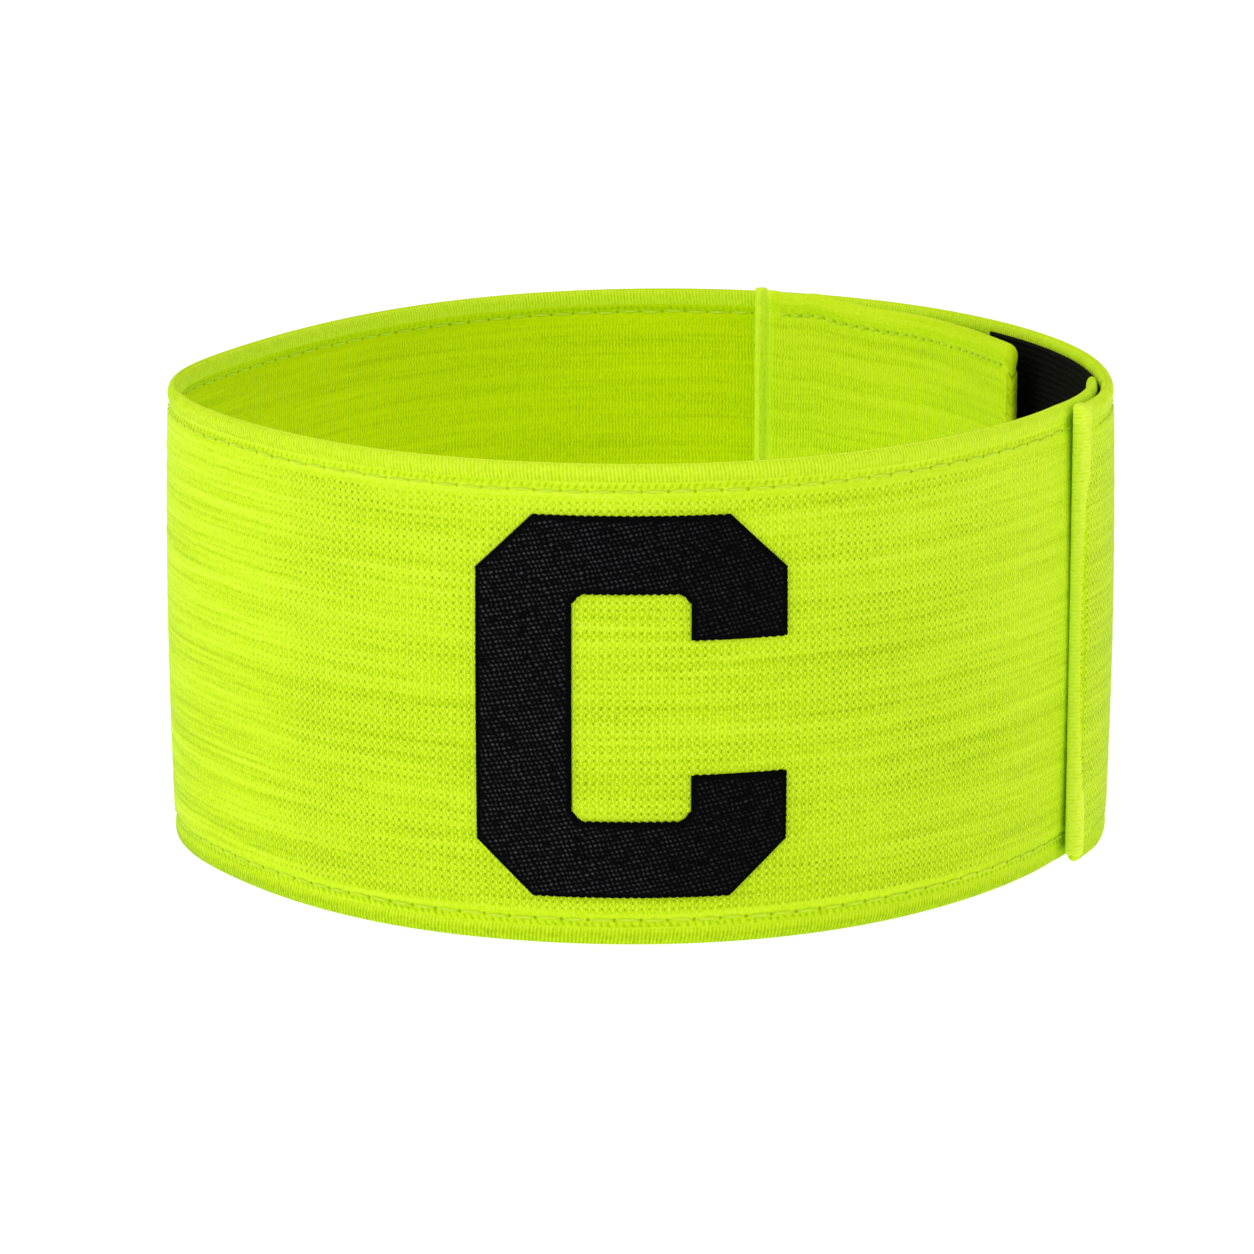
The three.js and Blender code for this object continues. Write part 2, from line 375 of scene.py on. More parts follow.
def carried(outline: RingOutline, section: Section, at: Stations, relief: Array | float = 0.0) -> Array:
    """Carries a section along the ring: lift + middle + fill * (half + swell), heights drawn in by trim.

    The swell is whole where the cloth has most of its thickness, and fades towards its edges.

    Args:
        outline: the ring's outline.
        section: the cross-section.
        at: the stations along the ring.
        relief: extra offset of each point.

    Returns:
        A grid of points, one row for each station and one column for each point of the loop.
    """
    heights, middles, halves = section.loop()
    most = 0.6 * np.abs(section.halves).max()
    swell = np.sign(halves) * np.minimum(1, np.abs(halves) / most) * at.swell[:, None]
    offsets = at.lift[:, None] + middles + at.fill[:, None] * (halves + swell) + relief
    low, high = section.heights[0], section.heights[-1]
    centre, half = (low + high) / 2, (high - low) / 2
    places = centre + (heights - centre) * (1 - at.trim[:, None] / half)
    places = places + at.rise[:, None] * (heights - low) / (high - low)
    return outline.place(at.angles[:, None], offsets, places)


def ladder_faces(stations: int, loop: int) -> Array:
    """Quads of a closed sweep: bands along the loop, and rungs between mirrored points at both ends.

    Args:
        stations: rows of the grid.
        loop: columns of the grid, an even number that closes on itself.

    Returns:
        One row of four vertex numbers for each face, turning outwards.
    """
    row = np.arange(stations - 1)[:, None] * loop
    here = np.arange(loop)[None, :]
    after = (here + 1) % loop
    sides = np.stack([row + here, row + loop + here, row + loop + after, row + after], axis=-1)
    rung = np.arange(loop // 2 - 1)
    other = loop - 1 - rung
    start = np.stack([other, rung, rung + 1, other - 1], axis=-1)
    end = np.stack([rung, other, other - 1, rung + 1], axis=-1) + (stations - 1) * loop
    return np.concatenate([sides.reshape(-1, 4), start, end])


class MeshMaker:
    """Turns arrays into finished mesh objects."""

    THREAD_STEPS = 8
    THREAD_SIDES = 6
    THREAD_END = 0.25

    @staticmethod
    def build(name: str, points: Array, faces: Array, uv: Array, inside: Array | None = None) -> Piece:
        """Makes one smooth-shaded object at the origin.

        Args:
            name: the object's name.
            points: one x, y and z for each vertex.
            faces: vertex numbers of each face.
            uv: cloth coordinates of each vertex, in metres.
            inside: share by which each vertex is on the ring's inner face.

        Returns:
            The linked object.
        """
        mesh = bpy.data.meshes.new(name)
        mesh.from_pydata(points.reshape(-1, 3), [], faces)
        layer = mesh.uv_layers.new(name=CLOTH_UV)
        layer.data.foreach_set("uv", uv.reshape(-1, 2)[faces.ravel()].astype(np.float32).ravel())
        if inside is not None:
            share = mesh.attributes.new(INSIDE, "FLOAT", "POINT")
            share.data.foreach_set("value", inside.astype(np.float32).ravel())
        mesh.polygons.foreach_set("use_smooth", np.ones(len(mesh.polygons), bool))
        mesh.validate()
        mesh.update()
        made = bpy.data.objects.new(name, mesh)
        bpy.context.scene.collection.objects.link(made)
        return made

    @classmethod
    def sweep(
        cls, name: str, grid: Array, along: Array, around: Array, inside: Array | None = None
    ) -> Piece:
        """Makes a closed sweep from a grid of points.

        Args:
            name: the object's name.
            grid: points, one row for each station.
            along: cloth coordinate of each station.
            around: cloth coordinate of each point of the loop.
            inside: share on the inner face of each point of the loop.

        Returns:
            The linked object.
        """
        stations, loop = grid.shape[:2]
        uv = np.stack(np.broadcast_arrays(along[:, None], around[None, :]), axis=-1)
        share = None if inside is None else np.broadcast_to(inside, (stations, loop))
        return cls.build(name, grid, ladder_faces(stations, loop), uv, share)

    @classmethod
    def threads(
        cls, name: str, starts: Array, ends: Array, normals: Array, arch: float, radius: float
    ) -> Piece:
        """Makes many short threads: centre start + t (end - start) + arch sin(pi t) normal.

        A thread's radius grows as the root of sin(pi t) from its ends, where it is a share of the whole.

        Args:
            name: the object's name.
            starts: where each thread comes out of the cloth.
            ends: where it goes in.
            normals: the way out of the cloth at each thread.
            arch: how far a thread's middle stands out.
            radius: a thread's greatest radius.

        Returns:
            The linked object, all threads in one mesh.
        """
        steps, sides = cls.THREAD_STEPS, cls.THREAD_SIDES
        t = np.linspace(0, 1, steps)[:, None]
        run = ends - starts
        centre = starts[:, None] + t * run[:, None] + arch * np.sin(math.pi * t) * normals[:, None]
        side = np.cross(normals, run)
        side /= np.linalg.norm(side, axis=1, keepdims=True)
        turn = np.linspace(0, math.tau, sides, endpoint=False)
        thick = radius * (cls.THREAD_END + (1 - cls.THREAD_END) * np.sin(math.pi * t) ** 0.5)
        ring = np.cos(turn)[:, None] * side[:, None] + np.sin(turn)[:, None] * normals[:, None]
        points = centre[:, :, None] + thick[:, :, None] * ring[:, None]
        first = (np.arange(len(starts)) * steps * sides)[:, None, None]
        faces = (ladder_faces(steps, sides)[None] + first).reshape(-1, 4)
        length = np.linalg.norm(run, axis=1)[:, None, None] * t[None]
        uv = np.stack(np.broadcast_arrays(length, (turn * radius)[None, None]), axis=-1)
        return cls.build(name, points, faces, uv)


@dataclass(frozen=True)
class Sewing:
    """How a row of stitches is sewn: where threads start and end within a pitch, and how they stand."""

    pitch: float
    lead: Span
    cover: Span
    sway: float
    arch: float
    radius: float
    sink: float = 0.03 * MM

    def row(self, draw: Any, numbers: Array, run: Array, angles: Array) -> tuple[Array, Array, Array]:
        """Draws one row.

        Args:
            draw: the random generator.
            numbers: the number of each stitch, counted in pitches along the run.
            run: distance along the cloth of each of the angles.
            angles: rising angles.

        Returns:
            The angles at which the threads start and end, and the change of height at each of those.
        """
        count = len(numbers)
        first = numbers * self.pitch + draw.uniform(*self.lead, count)
        last = first + self.pitch * draw.uniform(*self.cover, count)
        sway = draw.uniform(-self.sway, self.sway, (2, count))
        return np.interp(first, run, angles), np.interp(last, run, angles), sway

    def thread(self, name: str, rows: list[tuple[Array, Array, Array]]) -> Piece:
        """Makes the threads of all rows.

        Args:
            name: the object's name.
            rows: starts, ends and flat normals of each row's threads.

        Returns:
            The linked object.
        """
        starts, ends, flat = (np.concatenate(part) for part in zip(*rows))
        normals = np.concatenate([flat, np.zeros((len(flat), 1))], axis=1)
        return MeshMaker.threads(name, starts, ends, normals, self.arch, self.radius)


class Finish:
    """The nodes of one material."""

    def __init__(self, name: str) -> None:
        """Starts an empty material.

        Args:
            name: the material's name.
        """
        self.material = bpy.data.materials.new(name)
        self.material.use_nodes = True
        self.tree = self.material.node_tree
        self.tree.nodes.clear()

    def node(
        self, kind: str, settings: dict[str, Any] | None = None, sockets: dict[Any, Any] | None = None
    ) -> Any:
        """Adds a node.

        Args:
            kind: the node's type without its ShaderNode prefix.
            settings: properties, set first; "stops" are a ramp's positions and colours.
            sockets: a value or a link for each input, by name or number.

        Returns:
            The node.
        """
        made = self.tree.nodes.new("ShaderNode" + kind)
        for key, value in (settings or {}).items():
            if key == "stops":
                ramp = made.color_ramp
                while len(ramp.elements) < len(value):
                    ramp.elements.new(1.0)
                for element, (position, colour) in zip(ramp.elements, value):
                    element.position, element.color = position, colour
            else:
                setattr(made, key, value)
        for key, value in (sockets or {}).items():
            if isinstance(value, Signal):
                self.tree.links.new(value.socket, made.inputs[key])
            elif isinstance(value, bpy.types.NodeSocket):
                self.tree.links.new(value, made.inputs[key])
            else:
                made.inputs[key].default_value = value
        return made

    def signal(self, node: Any, output: Any = 0) -> "Signal":
        """Wraps one output of a node."""
        return Signal(self, node.outputs[output])

    def cloth(self) -> tuple["Signal", "Signal"]:
        """Distances along and across the cloth in millimetres, from the piece's own UV map.

        Returns:
            The distance along and the distance across.
        """
        uv = self.node("UVMap", {"uv_map": CLOTH_UV})
        split = self.node("SeparateXYZ", sockets={0: uv.outputs[0]})
        return self.signal(split, "X") / MM, self.signal(split, "Y") / MM

    def inside(self) -> "Signal":
        """Share by which the surface is the ring's inner face, which the knit tints with painted shade."""
        return self.signal(self.node("Attribute", {"attribute_name": INSIDE}), "Fac")

    def noise(self, x: Any, y: Any, detail: float, seed: float) -> "Signal":
        """Smooth noise between 0 and 1, one feature for each unit.

        Args:
            x: the first coordinate.
            y: the second coordinate.
            detail: how many finer layers are added.
            seed: the third coordinate, which tells one noise from another.

        Returns:
            The noise.
        """
        place = self.node("CombineXYZ", sockets={"X": x, "Y": y, "Z": seed})
        sockets = {"Vector": place.outputs[0], "Scale": 1.0, "Detail": detail, "Roughness": 0.55}
        return self.signal(self.node("TexNoise", {"noise_dimensions": "3D"}, sockets), 0)

    def wander(self, x: Any, y: Any, detail: float, seed: float) -> "Signal":
        """Smooth noise between -0.5 and 0.5."""
        return self.noise(x, y, detail, seed) - 0.5

    def mixed(self, share: Any, first: Any, second: Any) -> "Signal":
        """Mixes two colours."""
        made = self.node("Mix", {"data_type": "RGBA"}, {0: share, 6: first, 7: second})
        return self.signal(made, 2)

    def tinted(self, share: Any, colour: "Signal", tint: Colour) -> "Signal":
        """Multiplies a colour by a tint, by that share."""
        settings = {"data_type": "RGBA", "blend_type": "MULTIPLY"}
        return self.signal(self.node("Mix", settings, {0: share, 6: colour, 7: tint}), 2)

    def bump(self, height: "Signal", distance: float) -> "Signal":
        """A normal from a height, which is in units of the distance."""
        made = self.node("Bump", None, {"Strength": 1.0, "Distance": distance, "Height": height})
        return self.signal(made, 0)

    def surface(self, sockets: dict[str, Any]) -> bpy.types.Material:
        """Ends the material in a Principled shader.

        Args:
            sockets: a value or a link for each of the shader's inputs.

        Returns:
            The material.
        """
        shader = self.node("BsdfPrincipled", None, sockets)
        self.node("OutputMaterial", None, {"Surface": shader.outputs[0]})
        return self.material


class Signal:
    """A value in a material, on which Python's operators add Math nodes."""

    def __init__(self, finish: Finish, socket: Any) -> None:
        """Wraps a socket of a finish."""
        self.finish, self.socket = finish, socket

    def math(self, operation: str, *values: Any) -> "Signal":
        """Adds a Math node of that operation on these values."""
        made = self.finish.node("Math", {"operation": operation}, dict(enumerate(values)))
        return Signal(self.finish, made.outputs[0])

    def __add__(self, other: Any) -> "Signal":
        """Adds."""
        return self.math("ADD", self, other)

    __radd__ = __add__

    def __mul__(self, other: Any) -> "Signal":
        """Multiplies."""
        return self.math("MULTIPLY", self, other)

    __rmul__ = __mul__

    def __sub__(self, other: Any) -> "Signal":
        """Takes away."""
        return self.math("SUBTRACT", self, other)

    def __rsub__(self, other: Any) -> "Signal":
        """Is taken away."""
        return self.math("SUBTRACT", other, self)

    def __truediv__(self, other: Any) -> "Signal":
        """Divides."""
        return self.math("DIVIDE", self, other)

    def wave(self, length: float) -> "Signal":
        """A cosine of that wavelength, between -1 and 1."""
        return self.math("COSINE", self * (math.tau / length))

    def clipped(self, low: float, high: float) -> "Signal":
        """Held between two values."""
        return self.math("MINIMUM", self.math("MAXIMUM", self, low), high)

    def power(self, exponent: float) -> "Signal":
        """Its size raised to that exponent."""
        return self.math("POWER", self.absolute(), exponent)

    def absolute(self) -> "Signal":
        """Without its sign."""
        return self.math("ABSOLUTE", self)

    def fold(self, length: float) -> "Signal":
        """Distance from the nearest multiple of a length."""
        return self.math("PINGPONG", self, length / 2)

    def hump(self, place: float, reach: float, exponent: float) -> "Signal":
        """1 at a place, falling by 1 - (d / reach)^exponent to 0."""
        return (1 - ((self - place) / reach).power(exponent)).clipped(0, 1)

    def step(self, low: float, high: float) -> "Signal":
        """Eases from 0 to 1 by 3t^2 - 2t^3.

        Args:
            low: where it is 0.
            high: where it is 1.

        Returns:
            The eased share.
        """
        sockets ={"Value": self, "From Min": low, "From Max": high}
        made = self.finish.node("MapRange", {"interpolation_type": "SMOOTHSTEP"}, sockets)
        return Signal(self.finish, made.outputs[0])


Layers = tuple[Signal, Signal]


class KnitFace(Enum):
    """Which cloth a knit finish is for."""

    STRIP = "strip"
    FLAP = "flap"
    HEM = "hem"
    # The lower hem's finish carries painted shade.
    SHADED_LOW_HEM = "low_hem"
    BEAD = "bead"


@dataclass(frozen=True)
class Weight:
    """How much a feature of the knit adds to the cloth's tone and to its height."""

    tone: float
    height: float


KNIT_WEIGHTS = {
    "course": Weight(0.5, 0.9),
    "rib": Weight(0.27, 0.25),
    "loop": Weight(0.02, 0.3),
    "fleck": Weight(0.5, 0.45),
    "hole": Weight(-0.78, -1.0),
    "needle": Weight(-0.7, -1.0),
    "seam": Weight(-0.35, -0.5),
    # The flap's seam ridge gets a lighter tone: painted light.
    "ridge": Weight(0.3, 0.0),
}


@dataclass(frozen=True)
class NeonKnit:
    """Neon knitted elastic: staggered stitch holes in rows, long uneven courses and fine upright ribs.

    The tone runs from 0, the colour of the hollows, over the yarn's own to 1, its brightest, whitened
    by a painted sheen. Lengths are in millimetres. An edging is the overcast cloth of a hem or of the fold.
    """

    face: KnitFace
    base: float = 0.68
    plain_tone: float = 0.68
    hollow: Colour = (0.27, 0.46, 0.0006, 1)
    yarn: Colour = (0.595, 0.865, 0.006, 1)
    yarn_tone: float = 0.6
    # The brightest yarn, made whiter than the yarn itself as a painted sheen on the crests.
    bright_and_sheen: Colour = (0.75, 0.985, 0.04, 1)
    # Tint of the ring's inner face: painted shade, darker and without the whitening of the sheen.
    inner: Colour = (0.91, 0.89, 0.08, 1)
    wale: float = 0.886
    course: float = 0.86
    rib: float = 0.44
    ribbing: float = 0.2
    middle: float = 27.5
    # Painted shading: the tone rises by this much each millimetre up the cloth, lighter above and darker
    # below.
    painted_light_rise: float = 0.003
    hem: Span = (3.2, 4.6)
    groove: float = 3.0
    pitch: float = 3.0
    sewn: float = 1000.0
    needle: float = 1 / 3.6
    seam_depth: float = 2.45
    seam_reach: float = 1 / 2.6
    calm_place: float = -78.0
    calm_reach: float = 36.0
    calm: float = 0.85
    closure: Span = (36.0, 58.0)
    flap_holes: float = 0.2
    edging_middle: float = 2.8
    edging_top: Span = (1.5, 2.5)
    bump: float = 0.075 * MM

    def streak(self, f: Finish) -> Signal:
        """Long streaks of the courses."""
        u, v = f.cloth()
        return f.wander(u * 0.035, v * 0.95, 3.0, 5.3)

    def fleck(self, f: Finish) -> Signal:
        """Short specks of uneven yarn."""
        u, v = f.cloth()
        return f.wander(u * 2.6, v * 2.0, 1.0, 1.7)

    def warp(self, f: Finish) -> Signal:
        """A slow wandering of the rows and the wales."""
        u, v = f.cloth()
        return f.wander(u * 0.3, v * 0.3, 2.0, 3.1)

    def edging(self, f: Finish) -> Layers:
        """An overcast edge: fine ribs across it, and a tone at its crest, painted light on the upper hem and
        painted shade on the lower hem, which a hem lets fade into the cloth beside it.

        Args:
            f: the finish that gets the nodes.

        Returns:
            Tone and height.
        """
        u, v = f.cloth()
        ribs = (u + v * 0.12 + self.warp(f) * 0.3).wave(self.rib) * self.ribbing
        fleck = self.fleck(f) * 0.6
        change = 0.0 if self.face is KnitFace.BEAD else self.plain_tone - self.base
        border = (v - self.edging_middle).absolute().step(*self.edging_top) * change
        return self.base + border + ribs + fleck + self.streak(f) * 0.3, ribs * 2.5 + fleck

    def courses(self, f: Finish, row: Signal, line: Signal, calm: Signal) -> Signal:
        """The uneven lengthwise courses, which alone show where the cloth is calm.

        Args:
            f: the finish that gets the nodes.
            row: the wave of the rows.
            line: lines in which the knit is more open.
            calm: share by which the cloth is calm.

        Returns:
            Their height.
        """
        u, v = f.cloth()
        band = f.wander(u * 0.016, v * 0.42, 2.0, 4.9) * 0.5
        return self.streak(f) * (1.2 + calm) + band + (line - 0.5) * 0.25 - calm * row.step(0.1, 1.0) * 0.25

    def holes(self, f: Finish, row: Signal, columns: Signal, line: Signal) -> Signal:
        """The holes between stitches: open in patches and in lines, and finer towards the closure.

        Args:
            f: the finish that gets the nodes.
            row: the wave of the rows.
            columns: the wave of the wales.
            line: lines in which the knit is more open.

        Returns:
            How open the knit is.
        """
        u, v = f.cloth()
        patch = f.noise(u * 0.1, v * 0.28, 2.0, 2.2).step(0.3, 0.68)
        strength = (0.5 + patch * 0.35 + line * 0.4) * (1 - u.step(*self.closure) * 0.5)
        gap = (columns * row).step(-0.05, 0.55) * columns.absolute().step(0.62, 1.0)
        return gap * strength * (row.step(-0.3, 0.3) * 0.4 + 0.6)

    def needles(self, u: Signal, depth: Signal) -> Signal:
        """The needle's holes along the stitch line, up to where it is sewn.

        Args:
            u: distance along the cloth.
            depth: distance from the nearer edge.

        Returns:
            1 at each hole's middle, falling to 0 at its rim.
        """
        along, across = u.fold(self.pitch) / self.needle, (depth - self.groove) / self.needle
        hole = (1 - along.power(2) - across.power(2)).clipped(0, 1)
        return hole * (1 - u.step(self.sewn, self.sewn + 0.4))

    def knit(self, f: Finish) -> Layers:
        """The cloth itself: its features, each times its weight in the table, added up.

        Args:
            f: the finish that gets the nodes.

        Returns:
            Tone and height.
        """
        u, v = f.cloth()
        outer = 1 - f.inside()
        warp, jitter = self.warp(f), f.wander(u * 1.7, v * 1.7, 1.0, 9.7) * 0.3
        row = (v + warp * 0.7 + jitter).wave(self.course)
        across = u + warp * 0.6 + jitter
        columns = across.wave(self.wale)
        depth = self.middle - (v - self.middle).absolute()
        cloth = depth.step(*self.hem)
        dotted = 1.0 if self.face is KnitFace.STRIP else self.flap_holes
        line = f.noise(u * 0.05, v * 1.9, 1.0, 6.1).step(0.3, 0.66)
        calm = u.hump(self.calm_place, self.calm_reach, 4) * self.calm
        ticks = (across + depth * 0.4).wave(self.wale).step(-0.1, 0.9)
        seam = depth.hump(self.seam_depth, self.seam_reach, 2)
        features = {
            "course": self.courses(f, row, line, calm),
            "rib": (across + row * 0.04).wave(self.wale / 2) * (1 - calm * 0.8) * cloth,
            "loop": (0 - columns * row).step(0.2, 0.9) * outer * (1 - calm),
            "fleck": self.fleck(f),
            "hole": self.holes(f, row, columns, line) * outer * (1 - calm) * cloth * dotted,
            "needle": self.needles(u, depth),
            "seam": seam * (0.15 + 0.85 * ticks) * dotted,
            # Painted light on the flap's seam ridge.
            "ridge": u.step(self.sewn + 1.5, self.sewn + 3),
        }
        # The tone also rises up the cloth: painted shading, lighter towards the top and darker towards the
        # bottom.
        tone, height = self.base + (v - self.middle) * self.painted_light_rise, 0.0
        for name, feature in features.items():
            tone = tone + feature * KNIT_WEIGHTS[name].tone
            height = height + feature * KNIT_WEIGHTS[name].height
        return tone, height

    def build(self) -> bpy.types.Material:
        """Builds the material.

        Returns:
            The material, which reads the piece's UV map and its inside attribute.
        """
        f = Finish("neon_" + self.face.value)
        inside = f.inside()
        cloth = self.face in (KnitFace.STRIP, KnitFace.FLAP)
        tone, height = self.knit(f) if cloth else self.edging(f)
        stops = [(0.0, self.hollow), (self.yarn_tone, self.yarn), (1.0, self.bright_and_sheen)]
        shades = f.signal(f.node("ValToRGB", {"stops": stops}, {0: tone}))
        return f.surface({
            # The inner face is tinted as painted shade.
            "Base Color": f.tinted(inside, shades, self.inner),
            "Roughness": 0.9,
            "Specular IOR Level": 0.03,
            "Sheen Weight": 0.08,
            "Sheen Roughness": 0.35,
            "Sheen Tint": (0.9, 1.0, 0.6, 1),
            "Coat Weight": 0.3 * (1 - inside),
            "Coat Roughness": 0.6,
            "Coat IOR": 1.3,
            "Normal": f.bump(height, self.bump),
        })


@dataclass(frozen=True)
class SewingThread:
    """Neon sewing thread of two twisted plies."""

    colour: Colour = (0.77, 1.0, 0.06, 1)
    groove: Colour = (0.62, 0.92, 0.02, 1)
    twist: float = 0.35
    slant: float = 1.4
    bump: float = 0.03 * MM

    def build(self) -> bpy.types.Material:
        """Builds the material.

        Returns:
            The material: slanted plies from the thread's own UV map.
        """
        f = Finish("neon_thread")
        u, v = f.cloth()
        ply = (u + v * self.slant).wave(self.twist)
        return f.surface({
            "Base Color": f.mixed(ply.step(-1, 0.2), self.groove, self.colour),
            "Roughness": 0.7,
            "Specular IOR Level": 0.1,
            "Normal": f.bump(ply, self.bump),
        })


@dataclass(frozen=True)
class LetterSatin:
    """Black satin-stitched patch: short slanted floats in staggered rows with painted glints, brighter
    towards the left, plain along the border.
    """

    ground: Colour = (0.0012, 0.0012, 0.0015, 1)
    # The floats' painted glint.
    float_glint: Colour = (0.052, 0.052, 0.055, 1)
    pitch: float = 0.85
    row: float = 0.33
    lean: Span = (0.89, 0.45)
    border: Span = (0.45, 0.9)
    brighter_left: Span = (14.0, -10.0)
    bump: float = 0.1 * MM

    def build(self) -> bpy.types.Material:
        """Builds the material from the letter's UV map and its inside attribute.

        Returns:
            The material. Its inside attribute is the share of the way in from the letter's border.
        """
        f = Finish("letter_satin")
        u, v = f.cloth()
        sway = f.wander(u * 0.5, v * 0.5, 2.0, 4.4)
        long, short = self.lean
        rows = (v * long + u * short + sway * 0.8).wave(2 * self.row)
        columns = (u * long - v * short + sway * 0.6).wave(self.pitch)
        core = f.inside().step(*self.border)
        dash = (columns * (rows * 1.6).clipped(-1, 1)).step(0.0, 0.9) * core
        # Painted glints: noise picks which floats catch the light, and the glints are brighter towards the
        # left.
        glint_patches = f.noise(u * 0.9, v * 1.5, 2.0, 8.8).step(0.25, 0.75)
        lit = dash * glint_patches * (0.45 + 0.55 * u.step(*self.brighter_left))
        return f.surface({
            "Base Color": f.mixed(lit, self.ground, self.float_glint),
            "Roughness": 0.75 - lit * 0.2,
            "Specular IOR Level": 0.03,
            "Normal": f.bump(dash, self.bump),
        })


@dataclass(frozen=True)
class HookTape:
    """Black woven hook tape: fine lengthwise ribs on a matt ground."""

    ground: Colour = (0.0028, 0.0029, 0.0022, 1)
    crest: Colour = (0.014, 0.0145, 0.011, 1)
    rib: float = 0.8
    bump: float = 0.1 * MM

    def build(self) -> bpy.types.Material:
        """Builds the material.

        Returns:
            The material, which reads the tape's UV map.
        """
        f = Finish("hook_tape")
        u, v = f.cloth()
        fuzz = f.noise(u * 3, v * 3, 3.0, 2.5)
        ribs = (v + f.wander(u * 0.2, v * 0.6, 2.0, 7.5) * 0.5).wave(self.rib)
        return f.surface({
            "Base Color": f.mixed((0.5 + ribs * 0.4).clipped(0, 1) * fuzz, self.ground, self.crest),
            "Roughness": 0.9,
            "Specular IOR Level": 0.04,
            "Normal": f.bump(ribs * 0.6 + fuzz, self.bump),
        })


@dataclass(frozen=True)
class StudioFloor:
    """A plain pale floor with a faint mottling."""

    pale: Colour = (0.25, 0.25, 0.25, 1)
    shade: Colour = (0.24, 0.24, 0.24, 1)
    glow: float = 0.9

    def build(self) -> bpy.types.Material:
        """Builds the material.

        Returns:
            The material, which reads object coordinates.
        """
        f = Finish("studio_floor")
        place = f.node("TexCoord")
        cloud = f.node("TexNoise", None, {"Vector": place.outputs["Object"], "Scale": 6.0})
        return f.surface({
            "Base Color": f.mixed(f.signal(cloud, 0), self.pale, self.shade),
            "Roughness": 0.9,
            "Emission Color": (1, 1, 1, 1),
            "Emission Strength": self.glow,
        })


def dress(pieces: list[Piece], finishes: list[bpy.types.Material]) -> None:
    """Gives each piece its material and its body.

    Args:
        pieces: the pieces.
        finishes: a material for each of them.
    """
    for piece, finish in zip(pieces, finishes):
        piece.data.materials.append(finish)
        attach(piece, BODY)


